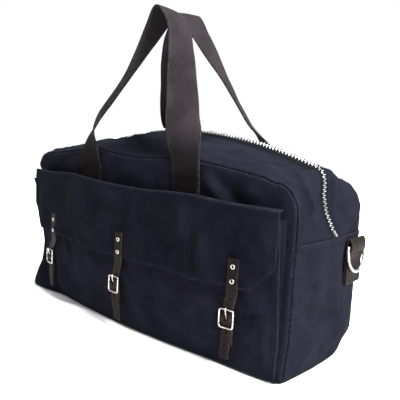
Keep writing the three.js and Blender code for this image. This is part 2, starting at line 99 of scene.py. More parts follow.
POCKET_EDGE, POCKET_FOOT = POCKET_HALF + 3 * MM, 1.5 * MM  # where its canvas ends
FLAP_OUT, FLAP_TURN, FLAP_HEM = 22 * MM, 5 * MM, 7.5 * MM  # from its seam out, round its fold, its hem
FLAP_CORNER = FLAP_HALF - FLAP_CHAMFER


def panel_depth(x, z):
    """How far the front or back stands from the middle plane."""
    full = 1 - (x / HALF_LENGTH) ** 2
    return HALF_DEPTH + BULGE * full * (1 - BULGE_FADE * ((z - BULGE_HEIGHT) / BULGE_REACH) ** 2)


def smooth(low, high, value):
    t = np.clip((value - low) / (high - low), 0, 1)
    return t * t * (3 - 2 * t)


def bell(value, middle, width):
    """1 at the middle, fading over that width to each side."""
    return np.exp(-(((value - middle) / width) ** 2))


def run_of(line):
    """How far along a line each of its points is."""
    return np.concatenate([[0], np.cumsum(np.linalg.norm(np.diff(line, axis=0), axis=1))])


def units(vectors):
    return vectors / np.maximum(np.linalg.norm(vectors, axis=-1, keepdims=True), 1e-12)


# How far the left front edge stands out or in, in mm, at each height in mm.
LEFT_HEIGHTS = (0, 15, 38, 60, 77, 95, 125, 150, 200, 240, 262, 300)
LEFT_SHIFTS = (-22, -22, -16, -6, 0, 5, 3, 0, -7, -22, -23, -10)


def slump(points):
    """The empty bag's slack, the same for every panel: ends bow, feet tuck in and the left edge bends."""
    moved = np.array(points, float)
    x, y, z = moved[..., 0], moved[..., 1], moved[..., 2]
    shift = np.interp(z / MM, LEFT_HEIGHTS, LEFT_SHIFTS) * MM
    left = smooth(-190 * MM, -272 * MM, x) * smooth(30 * MM, -70 * MM, y)
    ends = smooth(225 * MM, 280 * MM, np.abs(x))
    bow = 8 * MM * (1 - np.minimum(np.abs(y) / HALF_DEPTH, 1) ** 2) * smooth(160 * MM, 60 * MM, z) * ends
    tuck = 10 * MM * smooth(40 * MM, 0, z) ** 1.5 * ends * smooth(20 * MM, 95 * MM, y)
    sunk = 9 * MM * smooth(130 * MM, 235 * MM, x) * smooth(10 * MM, 80 * MM, y) * smooth(195 * MM, 250 * MM, z)
    moved[..., 0] += shift * left + np.sign(x) * (bow - tuck)
    moved[..., 1] -= 9 * MM * smooth(34 * MM, 0, z) ** 1.5 * smooth(40 * MM, 90 * MM, y)
    forward = 13 * MM * smooth(-190 * MM, -272 * MM, x) + 8 * MM * smooth(150 * MM, 262 * MM, x)
    moved[..., 1] -= forward * smooth(62 * MM, 0, z) * smooth(0, -80 * MM, y)
    moved[..., 1] -= 6 * MM * left * smooth(222 * MM, 245 * MM, z)
    moved[..., 2] -= sunk
    return moved


def panel_top(x):
    """The panel's top seam. The handles hold it up where they leave it, and it sags between."""
    side = np.abs(x)
    straight = HALF_LENGTH - CORNER_RADIUS
    arch = CROWN - CORNER_DROP * np.minimum(side / straight, 1) ** 2
    into = np.maximum(side - straight, 0)
    top = arch - CORNER_RADIUS + np.sqrt(np.maximum(CORNER_RADIUS**2 - into**2, 0))
    sag = 9 * MM * np.maximum(1 - (x / (104 * MM)) ** 2, 0) ** 1.5
    return top - sag - 3.5 * MM * bell(x, 244 * MM, 9 * MM)


# ---- Mesh building ----
class Cloth:
    """A grid of points with its outer side along d/du x d/dv, and what is painted on it."""

    def __init__(self, points):
        self.points = np.array(points, float)
        self.wear = np.zeros(self.points.shape[:2])

    def normals(self):
        return units(np.cross(np.gradient(self.points, axis=0), np.gradient(self.points, axis=1)))

    def push(self, amount):
        self.points += self.normals() * np.asarray(amount)[..., None]

    def slack(self, turned):
        """Slumps with the rest of the bag; a turned panel is still in its own side's frame."""
        way = np.array((-1, -1, 1)) if turned else np.ones(3)
        self.points = slump(self.points * way) * way

    def lengths(self):
        """Distances along and across the grid, for the weave."""
        along = np.linalg.norm(np.diff(self.points, axis=0), axis=2)
        across = np.linalg.norm(np.diff(self.points, axis=1), axis=2)
        u = np.concatenate([[0], np.cumsum(along.mean(1))])
        v = np.concatenate([[0], np.cumsum(across.mean(0))])
        return u - u.mean(), v - v.mean()

    def build(self, name, thickness=CANVAS_THICK, round_edge=0.45):
        """A closed piece: this outer layer, a second one under it, and a rounded rim."""
        rows, columns = self.points.shape[:2]
        count = rows * columns
        under = self.points - self.normals() * thickness
        border = ([(i, 0) for i in range(rows)] + [(rows - 1, j) for j in range(1, columns)]
                  + [(i, columns - 1) for i in range(rows - 2, -1, -1)]
                  + [(0, j) for j in range(columns - 2, 0, -1)])
        i, j = np.array(border).T
        middle = (self.points[i, j] + under[i, j]) / 2 + self.edge_directions(i, j) * thickness * round_edge
        vertices = np.concatenate([self.points.reshape(-1, 3), under.reshape(-1, 3), middle])
        index = np.arange(count).reshape(rows, columns)
        quads = np.stack([index[:-1, :-1], index[1:, :-1], index[1:, 1:], index[:-1, 1:]], axis=-1).reshape(-1, 4)
        faces = quads.tolist() + (quads[:, ::-1] + count).tolist()
        a, c = index[i, j], 2 * count + np.arange(len(border))
        b, d = np.roll(a, -1), np.roll(c, -1)
        rim = np.stack([np.stack([b, a, c, d], 1), np.stack([d, c, a + count, b + count], 1)], 1)
        piece = new_mesh(name, vertices, faces + rim.reshape(-1, 4).tolist())
        u, v = self.lengths()
        grid = np.stack(np.meshgrid(u, v, indexing="ij"), axis=-1).reshape(-1, 2)
        set_weave(piece, np.concatenate([grid, grid, np.stack([u[i], v[j]], axis=1)]))
        wear = self.wear.ravel()
        set_attribute(piece, "wear", np.concatenate([wear, wear * 0.3, self.wear[i, j]]))
        return piece

    def edge_directions(self, i, j):
        """Unit directions out of the grid, in its plane, at its border points."""
        rows, columns = self.points.shape[:2]
        out = np.zeros((len(i), 3))
        for axis, at, last in ((0, i, rows - 1), (1, j, columns - 1)):
            way = np.where(at == 0, -1, np.where(at == last, 1, 0))
            out += way[:, None] * units(np.gradient(self.points, axis=axis)[i, j])
        return units(out)

    def spot(self, i, j):
        """The point and normal at fractional grid places, as arrays."""
        i, j = np.broadcast_arrays(np.asarray(i, float), np.asarray(j, float))
        rows, columns = self.points.shape[:2]
        i0 = np.clip(i.astype(int), 0, rows - 2)
        j0 = np.clip(j.astype(int), 0, columns - 2)
        a, b = (i - i0)[..., None], (j - j0)[..., None]
        normals = self.normals()

        def mix(field):
            near = field[i0, j0] * (1 - b) + field[i0, j0 + 1] * b
            far = field[i0 + 1, j0] * (1 - b) + field[i0 + 1, j0 + 1] * b
            return near * (1 - a) + far * a
        return mix(self.points), mix(normals)


def new_mesh(name, vertices, faces, smooth_shading=True):
    mesh = bpy.data.meshes.new(name)
    mesh.from_pydata([tuple(v) for v in np.asarray(vertices, float)], [], [tuple(f) for f in faces])
    mesh.validate()
    mesh.polygons.foreach_set("use_smooth", [smooth_shading] * len(mesh.polygons))
    piece = bpy.data.objects.new(name, mesh)
    bpy.context.scene.collection.objects.link(piece)
    return piece


def set_weave(piece, place):
    layer = piece.data.uv_layers.new(name="weave")
    corner = np.zeros(len(piece.data.loops), int)
    piece.data.loops.foreach_get("vertex_index", corner)
    layer.data.foreach_set("uv", np.asarray(place)[corner].astype(np.float32).ravel())


def set_attribute(piece, name, values):
    attribute = piece.data.attributes.new(name, "FLOAT", "POINT")
    attribute.data.foreach_set("value", np.asarray(values, np.float32))


def noise_field(points, size, seed, octaves=3, stretch=(1, 1, 1)):
    """Smooth noise from about -1 to 1 at each point, with features of that size."""
    scaled = points.reshape(-1, 3) * (np.array(stretch) / size) + seed * 7.31
    values = [noise.fractal(Vector(p), 1.0, 2.0, octaves) for p in scaled]
    return np.array(values).reshape(points.shape[:-1])


def crease_field(points, size, seed, stretch=(1, 1, 1)):
    """Ridges of folded cloth, 0 to 1, sharpest along their crests."""
    field = noise_field(points, size, seed, 2, stretch)
    return np.exp(-np.abs(field) * 5)


def fold(flat, points, width, height):
    """A soft ridge, or valley, along a line of (across, up) points in mm on a panel's flat coordinates."""
    best = np.full(flat.shape[:-1], 1e9)
    share = np.zeros(flat.shape[:-1])
    line = np.array(points, float) * MM
    for k, (start, end) in enumerate(zip(line[:-1], line[1:])):
        along = end - start
        t = np.clip(((flat - start) @ along) / (along @ along), 0, 1)
        away = flat - start - t[..., None] * along
        distance = np.linalg.norm(away, axis=-1)
        nearer = distance < best
        best = np.where(nearer, distance, best)
        share = np.where(nearer, (k + t) / (len(line) - 1), share)
    fade = np.clip(1.15 - np.abs(share - 0.5) * 1.7, 0, 1)
    return height * MM * fade * bell(best, 0, width * MM)


def drape_of(cloth, flat, lines, seed, swell, crease, stretch=(1, 1, 1), crease_stretch=(1, 1, 0.7), fall=0.3):
    """How far hanging cloth stands out: slow swells, creases, and the listed folds. The swells and
    creases are (height, size) in mm."""
    drape = swell[0] * MM * noise_field(cloth.points, swell[1] * MM, seed, 2, stretch)
    creases = crease_field(cloth.points, crease[1] * MM, seed + 1, crease_stretch)
    drape += crease[0] * MM * (creases - fall)
    return drape + sum(fold(flat, *line) for line in lines)


def steps(low, high, step, fine=(0, 0.6, 1.5, 3, 5, 8)):
    """Places from low to high, close together near both ends, where seams and hems roll."""
    edge = np.array(fine) * MM
    count = max(int((high - low - 2 * edge[-1]) / step), 2)
    middle = np.linspace(low + edge[-1], high - edge[-1], count + 1)
    return np.concatenate([low + edge[:-1], middle, high - edge[:-1][::-1]])


def roll(distance, width=SEAM_ROLL):
    """The quarter-round way a panel turns into its seam: 1 at the seam, 0 a width away."""
    t = np.clip(1 - distance / width, 0, 1)
    return 1 - np.sqrt(1 - t * t)


def resample(line, count):
    """The same line with its points evenly spaced."""
    line = np.asarray(line, float)
    length = run_of(line)
    wanted = np.linspace(0, length[-1], count)
    return np.stack([np.interp(wanted, length, line[:, k]) for k in range(line.shape[1])], axis=1)


def turn_about(piece, turned=True):
    """Turns a piece end for end, as some are made in the front or right side's frame."""
    if turned:
        piece.data.transform(Matrix.Rotation(math.pi, 4, "Z"))
    return piece


# ---- Seams and the zip's line, in the (x, z) plane ----
def seam_line(count, pucker=True):
    """From the top of the left end, over the panel, to the top of the right end."""
    x = HALF_LENGTH * np.sin(np.linspace(-math.pi / 2, math.pi / 2, 600))
    top = panel_top(x) if pucker else panel_top(-np.abs(x))
    foot = SEAM_HEIGHT - 8 * MM
    line = np.stack([x, top], axis=1)
    line = np.concatenate([[(-HALF_LENGTH, foot)], line, [(HALF_LENGTH, foot)]])
    return resample(line, count)


def curve(start, control, end, count=24):
    t = np.linspace(0, 1, count)[:, None]
    start, control, end = (np.array(p, float) for p in (start, control, end))
    return (1 - t) ** 2 * start + 2 * t * (1 - t) * control + t * t * end


def zip_line(count):
    """The zip's own arch, sagging at its right end and dipping once on the left."""
    foot = (SEAM_HEIGHT - 2 * MM) / MM
    left = [(-288, foot), (-262, 258)]
    parts = [left, curve(left[-1], (-262, 279), (-244, 280)), curve((-244, 280), (0, 360), (244, 280), 120),
             curve((244, 280), (262, 279), (263, 258)), [(263, 240), (269, 218), (288, foot)]]
    line = np.concatenate([np.array(part, float) for part in parts])
    keep = np.concatenate([[True], np.linalg.norm(np.diff(line, axis=0), axis=1) > 0.5])
    line = resample(line[keep] * MM, count)
    soft = line.copy()
    for _ in range(count // 60):
        soft[1:-1] = (soft[:-2] + 2 * soft[1:-1] + soft[2:]) / 4
    soft[:, 1] -= 8 * MM * bell(soft[:, 0], -128 * MM, 20 * MM)
    return soft


def line_frames(line):
    """Unit tangents of an (x, z) line and the directions out of the bag."""
    tangent = units(np.gradient(line, axis=0))
    return tangent, np.stack([-tangent[:, 1], tangent[:, 0]], axis=1)


def lean(points):
    """The zip lies tipped towards the front, on a ridge; points are near the middle plane."""
    moved = np.array(points, float)
    y = moved[..., 1]
    share = smooth(264 * MM, 240 * MM, np.abs(moved[..., 0]))
    moved[..., 2] += share * (0.42 * np.clip(y, -20 * MM, 5.5 * MM) - 0.4 * np.maximum(y - 5.5 * MM, 0))
    moved[..., 2] += share * 2.2 * MM * smooth(-14 * MM, -4 * MM, y)
    return moved


SEAM_COUNT = 280
ZIP = zip_line(SEAM_COUNT)
TAPE_HALF, CHAIN_HALF = 13.5 * MM, 4.3 * MM
GUSSET_WIDTH = 110 * MM
GUSSET_PLACES = steps(0, GUSSET_WIDTH, 3.8 * MM)


# ---- Panels ----
def seam_pull(x, z, line):
    """How near each point is to a seam line, and which way that seam pulls the cloth in the xz plane."""
    _, outward = line_frames(line)
    flat = np.stack([x.ravel(), z.ravel()], axis=1)
    best = np.empty(len(flat), int)
    distance = np.empty(len(flat))
    for start in range(0, len(flat), 4000):
        block = flat[start:start + 4000]
        gap = np.linalg.norm(block[:, None] - line[None], axis=2)
        best[start:start + 4000] = gap.argmin(1)
        distance[start:start + 4000] = gap.min(1)
    return distance.reshape(x.shape), -outward[best].reshape(*x.shape, 2)


def wear_along(distance, width, points, seed, strength=1.0):
    """Rubbed paler along an edge, unevenly."""
    patchy = 0.65 + 0.5 * noise_field(points, 14 * MM, seed, 2)
    return strength * bell(distance, 0, width) * np.clip(patchy, 0, 1)


def main_panel(name, seed, front):
    """A front or back panel, made as the front one; the back one is then turned about."""
    xs = steps(-HALF_LENGTH, HALF_LENGTH, PANEL_STEP, (0, 0.3, 0.9, 1.8, 3, 5, 8, 12))
    x, up = np.meshgrid(xs, steps(0, CROWN, PANEL_STEP) / CROWN, indexing="ij")
    z = up * (panel_top(x) if front else panel_top(-np.abs(x)))
    panel = Cloth(np.stack([x, -panel_depth(x, z), z], axis=2))
    line = np.concatenate([[(-HALF_LENGTH, h) for h in np.linspace(0, 0.17, 40)], seam_line(500, front),
                           [(HALF_LENGTH, h) for h in np.linspace(0.17, 0, 40)]])
    distance, pull = seam_pull(x, z, line)
    free = smooth(0, 26 * MM, distance) * smooth(0, 40 * MM, z)
    shown = smooth(0.200, 0.238, z) if front else 1.0
    flat = np.stack([x, z], axis=2)
    calmer = 0.7 if front else 1.0
    swell, crease = (3.4 * calmer, 95), (2.4 * calmer, 80)
    lines = FRONT_FOLDS if front else BACK_FOLDS
    drape = drape_of(panel, flat, lines, seed, swell, crease, (1, 1, 0.8))
    drape += 0.35 * calmer * MM * noise_field(panel.points, 20 * MM, seed + 2, 2)
    foot = np.exp(-(((np.abs(x) - LEG_X) / (36 * MM)) ** 4)) * smooth(170 * MM, 196 * MM, z)
    shown = shown * (1 - foot)
    panel.push(drape * free * shown)
    puckers = np.sin((x + 0.5 * z) / (5.2 * MM) + 3 * noise_field(panel.points, 40 * MM, seed + 3, 1))
    panel.push(0.9 * PUCKER * puckers * bell(distance, 9 * MM, 9 * MM) * shown)
    bend = SEAM_TUCK * roll(distance)
    panel.points[..., 0] += bend * pull[..., 0]
    panel.points[..., 1] += bend
    panel.points[..., 2] += bend * pull[..., 1]
    panel.points[..., 1:] += BASE_TUCK * roll(z, BASE_ROLL)[..., None]
    panel.wear = wear_along(np.minimum(distance - 3 * MM, z + 2 * MM), 2.5 * MM, panel.points, seed, 0.5)
    panel.slack(not front)
    return turn_about(panel.build(name), not front)


FRONT_FOLDS = [
    ([(128, 276), (150, 254), (176, 232)], 13, 8.1),
    ([(140, 272), (166, 250), (196, 232)], 11, -7.4),
    ([(184, 266), (190, 230)], 12, -4.1),
    ([(214, 262), (222, 232)], 16, 4.1),
    ([(12, 268), (-30, 240)], 12, 4.1),
    ([(58, 272), (36, 234)], 13, -4.1),
    ([(-138, 262), (-190, 236)], 16, 4.1),
]
BACK_FOLDS = [
    ([(112, 280), (150, 200), (220, 120)], 20, 5.0),
    ([(130, 280), (186, 210), (250, 160)], 16, -4.5),
    ([(-112, 280), (-140, 190), (-200, 90)], 22, 5.0),
    ([(-92, 270), (-60, 170), (-70, 80)], 20, -4.5),
    ([(80, 270), (50, 160), (90, 60)], 22, 4.0),
    ([(-240, 190), (-180, 110), (-110, 60)], 24, 4.5),
    ([(20, 250), (0, 150), (30, 40)], 26, -4.0),
    ([(200, 70), (240, 40)], 20, 4.0),
]


def bottom_panel():
    half = 100 * MM
    x, v = np.meshgrid(steps(-HALF_LENGTH, HALF_LENGTH, 6 * MM), steps(-half, half, 6 * MM) / half, indexing="ij")
    reach = panel_depth(x, 0)
    y = -v * reach
    panel = Cloth(np.stack([x, y, np.zeros_like(x)], axis=2))
    side, end = reach - np.abs(y), HALF_LENGTH - np.abs(x)
    for distance, direction in ((side, (0, 1)), (end, (1, 0))):
        bend = BASE_TUCK * roll(distance, BASE_ROLL)
        panel.points[..., 0] -= bend * np.sign(x) * direction[0]
        panel.points[..., 1] -= bend * np.sign(y) * direction[1]
        panel.points[..., 2] += bend
    inside = smooth(0, 30 * MM, np.minimum(side, end))
    panel.points[..., 2] += inside * 0.8 * MM * (1 + noise_field(panel.points, 70 * MM, 5, 2))
    panel.slack(False)
    return panel.build("bottom_shell")


BAND_STITCHES = (2.2 * MM, 9 * MM)  # how far below its top edge an end panel's band is sewn
GROOVE = 4.5 * MM  # the row of stitches beside the zip


def end_panel(name, seed, turned):
    """An end panel. Its folded top edge laps over the zipped top's foot."""
    ys = steps(-HALF_DEPTH, HALF_DEPTH, PANEL_STEP)
    y, z = np.meshgrid(ys, steps(0, SEAM_HEIGHT, PANEL_STEP), indexing="ij")
    swell = smooth(0, SEAM_HEIGHT, z) * (1 - (y / HALF_DEPTH) ** 2)
    panel = Cloth(np.stack([HALF_LENGTH + 8 * MM * swell, y, z], axis=2))
    side = HALF_DEPTH - np.abs(y)
    free = smooth(0, 26 * MM, side) * smooth(0, 40 * MM, z) * smooth(SEAM_HEIGHT, SEAM_HEIGHT - 30 * MM, z)
    tab = 1 - np.exp(-((y - 55 * MM) / (30 * MM)) ** 4) * smooth(70 * MM, 100 * MM, z)
    flat = np.stack([y, z], axis=2)
    drape = drape_of(panel, flat, END_FOLDS, seed, (5.0, 75), (5.0, 70), (1, 1, 0.7), (1, 1, 0.6))
    panel.push(drape * free * tab)
    bend = SEAM_TUCK * roll(side)
    panel.points[..., 0] -= bend
    panel.points[..., 1] -= bend * np.sign(y)
    base = BASE_TUCK * roll(z, BASE_ROLL)
    panel.points[..., 0] -= base
    panel.points[..., 2] += base
    lap = 1.2 * MM * smooth(SEAM_HEIGHT - 12 * MM, SEAM_HEIGHT - 10 * MM, z)
    groove = 0.5 * MM * bell(z, SEAM_HEIGHT - BAND_STITCHES[1], 1.2 * MM)
    panel.points[..., 0] += lap - groove - 0.8 * MM * roll(SEAM_HEIGHT - z, 2 * MM)
    edge = np.minimum(side - 3 * MM, SEAM_HEIGHT - z)
    panel.wear = wear_along(edge, 2.2 * MM, panel.points, seed, 0.5)
    panel.slack(turned)
    return panel, turn_about(panel.build(name), turned)


END_FOLDS = [
    ([(-92, 92), (-60, 96), (-20, 78), (10, 70)], 9, -5.0),
    ([(-92, 108), (-50, 112), (-10, 96)], 11, 4.5),
    ([(-30, 16), (20, 36), (56, 66), (74, 110)], 11, 5.0),
    ([(0, 14), (46, 34), (76, 62)], 10, -4.5),
    ([(-60, 150), (-40, 120), (-36, 84)], 16, 3.0),
    ([(-80, 40), (-40, 46), (-10, 40)], 14, 3.0),
]


def top_gusset(name, seed, front):
    """One half of the zipped top, from the panel's seam in to the fold along the zip's tape."""
    seam = seam_line(SEAM_COUNT, front)
    line = ZIP if front else (ZIP * (-1, 1))[::-1]
    _, seam_out = line_frames(seam)
    _, zip_out = line_frames(line)
    v = GUSSET_PLACES / GUSSET_WIDTH
    share = v[None, :, None]
    start = np.stack([seam[:, 0], -panel_depth(seam[:, 0], seam[:, 1]), seam[:, 1]], axis=1)
    lift = line + zip_out * 0.9 * MM
    end = np.stack([lift[:, 0], np.full(len(lift), -TAPE_HALF + 2 * MM), lift[:, 1]], axis=1)
    end = lean(end) if front else lean(end * (-1, -1, 1)) * (-1, -1, 1)
    points = start[:, None] * (1 - share) + end[:, None] * share
    outward = seam_out[:, None] * (1 - share) + zip_out[:, None] * share
    outward = np.stack([outward[..., 0], np.zeros(outward.shape[:2]), outward[..., 1]], axis=2)
    s = np.linspace(0, 1, SEAM_COUNT)[:, None]
    foot = smooth(0, 0.05, s) * smooth(1, 0.95, s)
    rise = 3.5 - 3.5 * smooth(0.80, 0.88, s) if front else 0.5 + 0 * s
    crown = rise * MM * np.sin(math.pi * v[None] ** 0.85) * foot
    points = points + outward * crown[..., None]
    gusset = Cloth(points)
    seam_gap = GUSSET_PLACES[None]
    zip_gap = GUSSET_WIDTH - seam_gap
    free = smooth(0, 22 * MM, seam_gap) * smooth(0, 11 * MM, zip_gap) * foot
    flat = np.stack(np.broadcast_arrays(s, seam_gap), axis=2)
    if front:
        free = free * (1 - 0.65 * smooth(0.84, 0.9, s) * smooth(70 * MM, 40 * MM, zip_gap))
    lines = FRONT_TOP_FOLDS if front else BACK_TOP_FOLDS
    drape = drape_of(gusset, flat, lines, seed, (3.8, 75), (3.6, 70), (0.8, 1, 1), (0.6, 1, 1))
    drape += 0.4 * MM * noise_field(gusset.points, 18 * MM, seed + 2, 2)
    gusset.push(drape * free)
    wave = np.sin(s * 215 + 2.5 * noise_field(gusset.points, 60 * MM, seed + 3, 1))
    gusset.push(PUCKER * wave * bell(seam_gap, 9 * MM, 8 * MM) * foot)
    gusset.push(PUCKER * wave * bell(zip_gap, 7 * MM, 6 * MM) * foot)
    bend = (SEAM_TUCK * roll(seam_gap))[..., None]
    inward = np.stack([-seam_out[:, 0], np.ones(SEAM_COUNT), -seam_out[:, 1]], axis=1)[:, None]
    gusset.points += bend * inward
    sunk = 1.6 * MM * roll(zip_gap, 3 * MM) + 0.5 * MM * bell(zip_gap, GROOVE, 1.0 * MM)
    gusset.points -= sunk[..., None] * outward
    below = smooth(0.012, 0.0, s) + smooth(0.988, 1.0, s)
    gusset.points[..., 0] -= 1.6 * MM * below * np.sign(gusset.points[..., 0])
    edge = np.minimum(seam_gap - 3 * MM, zip_gap)
    gusset.wear = wear_along(edge, 2.2 * MM, gusset.points, seed, 0.55)
    gusset.slack(not front)
    return gusset, turn_about(gusset.build(name), not front)


# Places along the arch are thousandths of its length; places across are mm from the seam.
FRONT_TOP_FOLDS = [
    ([(835, 74), (858, 52), (885, 40), (915, 44), (945, 58), (975, 80)], 8, 8.0),
    ([(850, 90), (880, 78), (915, 80), (950, 92)], 15, -9.0),
    ([(765, 55), (800, 72), (812, 92)], 7, -6.0),
    ([(380, 20), (420, 50), (430, 90)], 22, 5.0),
    ([(300, 85), (350, 60), (400, 30)], 16, -4.0),
    ([(500, 30), (560, 60), (640, 70)], 20, -3.5),
    ([(640, 30), (720, 22), (790, 30)], 14, 3.5),
    ([(200, 40), (150, 60), (100, 70)], 16, -4.0),
]
BACK_TOP_FOLDS = [
    ([(250, 40), (220, 80)], 10, -5.0),
    ([(820, 30), (860, 70), (940, 84)], 14, 6.0),
    ([(400, 20), (470, 60), (560, 70)], 20, 4.0),
    ([(560, 30), (640, 60), (720, 40)], 18, -4.0),
]


# ---- Round bars, stitches and small parts ----
def tube(points, radius, sides=12, closed=False):
    """Vertices and faces of a bar along the points, with rounded ends where it is open."""
    line = np.asarray(points, float)
    radii = np.full(len(line), radius, float)
    if not closed:
        first, last = (units(line[k] - line[n]) * radius for k, n in ((0, 1), (-1, -2)))
        caps = np.array([(0.95, 0.3), (0.6, 0.8)])
        before = line[0] + first * caps[:, :1]
        after = line[-1] + last * caps[::-1, :1]
        line = np.concatenate([before, line, after])
        radii = np.concatenate([radius * caps[:, 1], radii, radius * caps[::-1, 1]])
    ahead_of = np.roll(line, -1, axis=0) - np.roll(line, 1, axis=0) if closed else np.gradient(line, axis=0)
    tangent = units(ahead_of)
    side = np.cross(tangent[0], (0.31, 0.22, 0.93))
    rings = []
    for place, ahead, size in zip(line, tangent, radii):
        side = units(side - ahead * (side @ ahead))
        up = np.cross(ahead, side)
        angles = np.linspace(0, 2 * math.pi, sides, endpoint=False)[:, None]
        rings.append(place + size * (np.cos(angles) * side + np.sin(angles) * up))
    count = len(rings)
    faces = []
    for r in range(count if closed else count - 1):
        a, b = r * sides, ((r + 1) % count) * sides
        shift = 0
        if closed and r == count - 1:
            shift = int(np.argmin(np.linalg.norm(rings[0] - rings[-1][0], axis=1)))
        for k in range(sides):
            n = (k + 1) % sides
            faces.append((a + k, a + n, b + (n + shift) % sides, b + (k + shift) % sides))
    if not closed:
        faces.append(tuple(range(sides))[::-1])
        faces.append(tuple(range((count - 1) * sides, count * sides)))
    return np.concatenate(rings), faces


class Parts:
    """Several closed solids gathered into one mesh."""

    def __init__(self):
        self.vertices, self.faces, self.count = [], [], 0

    def add(self, vertices, faces):
        self.vertices.append(np.asarray(vertices, float))
        self.faces += [tuple(i + self.count for i in face) for face in faces]
        self.count += len(vertices)

    def build(self, name, smooth_shading=True):
        return new_mesh(name, np.concatenate(self.vertices), self.faces, smooth_shading)


STITCH_PITCH, STITCH_LENGTH, THREAD_RADIUS = 3.4 * MM, 2.5 * MM, 0.36 * MM


def add_stitches(parts, points, normals):
    """A row of stitches along a line that lies on cloth; each one dives in at both ends."""
    length = run_of(points)
    for k in range(int(length[-1] / STITCH_PITCH)):
        middle = (k + 0.5) * STITCH_PITCH
        at = middle + np.array([-0.5, -0.32, 0, 0.32, 0.5]) * STITCH_LENGTH
        place, normal = (np.stack([np.interp(at, length, field[:, c]) for c in range(3)], axis=1)
                         for field in (points, normals))
        height = np.array([-0.5, 0.35, 0.6, 0.35, -0.5])[:, None] * THREAD_RADIUS
        parts.add(*tube(place + normal * height, THREAD_RADIUS, 6))


def stitch_on(parts, cloth, rows, columns, turned=False):
    way = np.array((-1, -1, 1)) if turned else np.ones(3)
    points, normals = cloth.spot(rows, columns)
    add_stitches(parts, points * way, normals * way)


def index_of(values, wanted):
    return np.interp(wanted, values, np.arange(len(values)))


# ---- Zip ----
TOOTH_PITCH = 2.9 * MM


def zip_frame(distance):
    """Place, tangent and outward direction at distances along the zip."""
    length = run_of(ZIP)
    tangent, outward = line_frames(ZIP)
    pick = [np.interp(distance, length, field[:, k]) for field in (ZIP, tangent, outward) for k in (0, 1)]
    return np.stack(pick[:2], -1), np.stack(pick[2:4], -1), np.stack(pick[4:], -1), length[-1]


def zip_tape(name, side):
    ys = steps(0, TAPE_HALF - CHAIN_HALF * 0.35, 2.5 * MM, (0, 0.5, 1.2)) + CHAIN_HALF * 0.35
    _, outward = line_frames(ZIP)
    y, _ = np.meshgrid(-ys if side < 0 else ys, ZIP[:, 0], indexing="ij")
    lift = 0.55 * MM * bell(np.abs(y), 4.2 * MM, 0.9 * MM) - 0.25 * MM  # a beaded edge under the teeth
    x, z = (ZIP[None, :, k] + outward[None, :, k] * lift for k in (0, 1))
    points = np.stack([x, y, z], axis=2)
    if side < 0:
        points = points[::-1]
    tape = Cloth(lean(points.transpose(1, 0, 2)))
    tape.push(0.25 * MM * noise_field(tape.points, 12 * MM, 31 + side, 2))
    return tape.build(name, 0.7 * MM)


def tooth(parts, place, tangent, outward, side):
    """One cast tooth: a clamp over the tape's beaded edge and a head that meets the other row."""
    t = np.array([tangent[0], 0, tangent[1]])
    o = np.array([outward[0], 0, outward[1]])
    w = np.array([0, side, 0])
    sections = [(4.3, 0.75, 0.95), (3.9, 0.9, 1.35), (1.6, 0.85, 1.35), (0.5, 0.6, 1.15), (-0.8, 0.8, 1.2),
                (-1.2, 0.5, 0.8)]
    rings = []
    for across, half, height in sections:
        centre = place + w * across * MM + o * 0.45 * MM
        corners = [(-1, -0.6), (-0.6, -1), (0.6, -1), (1, -0.6), (1, 0.6), (0.6, 1), (-0.6, 1), (-1, 0.6)]
        rings.append([centre + t * a * half * MM + o * b * height * MM for a, b in corners])
    order = range(8) if side > 0 else range(7, -1, -1)
    vertices = [ring[k] for ring in rings for k in order]
    faces = []
    for r in range(len(rings) - 1):
        for k in range(8):
            n = (k + 1) % 8
            faces.append((r * 8 + n, r * 8 + k, (r + 1) * 8 + k, (r + 1) * 8 + n))
    faces.append(tuple(range(8)))
    faces.append(tuple(range((len(rings) - 1) * 8, len(rings) * 8))[::-1])
    parts.add(vertices, faces)


def zip_teeth():
    total = zip_frame(np.array([0.0]))[3]
    distances = np.arange(11 * MM, total - 11 * MM, TOOTH_PITCH)
    places, tangents, outwards, _ = zip_frame(distances)
    parts = Parts()
    for k, (place, tangent, outward) in enumerate(zip(places, tangents, outwards)):
        tooth(parts, np.array([place[0], 0, place[1]]), tangent, outward, 1 if k % 2 else -1)
    parts.vertices = [lean(solid) for solid in parts.vertices]
    return parts.build("zip_teeth", False)


# ---- Pocket ----
def pocket_face(x, z):
    up = np.clip((z - POCKET_BOTTOM) / (POCKET_TOP - POCKET_BOTTOM), 0, 1)
    full = 1 - (1 - up) ** 3
    edge = (x / POCKET_HALF) ** 4
    return 2 * MM + (POCKET_DEPTH - 2 * MM) * (full + (up - full) * edge)


POCKET_FOLDS = [
    ([(-226, 104), (-201, 84), (-186, 62), (-170, 42), (-136, 22), (-100, 13)], 11, 10.0),
    ([(-262, 80), (-240, 50), (-216, 22)], 17, -11.2),
    ([(216, 84), (240, 88), (269, 94)], 7, -4.8),
    ([(214, 96), (240, 101), (268, 106)], 8, 3.6),
    ([(12, 92), (54, 84), (84, 78)], 14, -6.0),
    ([(14, 74), (34, 44), (60, 20)], 12, 4.8),
    ([(-70, 112), (-110, 80), (-122, 48)], 24, 4.5),
    ([(96, 100), (130, 66), (176, 42)], 24, 4.5),
    ([(-40, 40), (-80, 26)], 14, 3.0),
    ([(226, 60), (250, 30)], 14, 3.3),
]
STRAPS = {side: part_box(f"strap_{side}") for side in ("left", "middle", "right")}


def near_straps(x, reach):
    return np.clip(sum(bell(x, (low.x + high.x) / 2, reach) for low, high in STRAPS.values()), 0, 1)


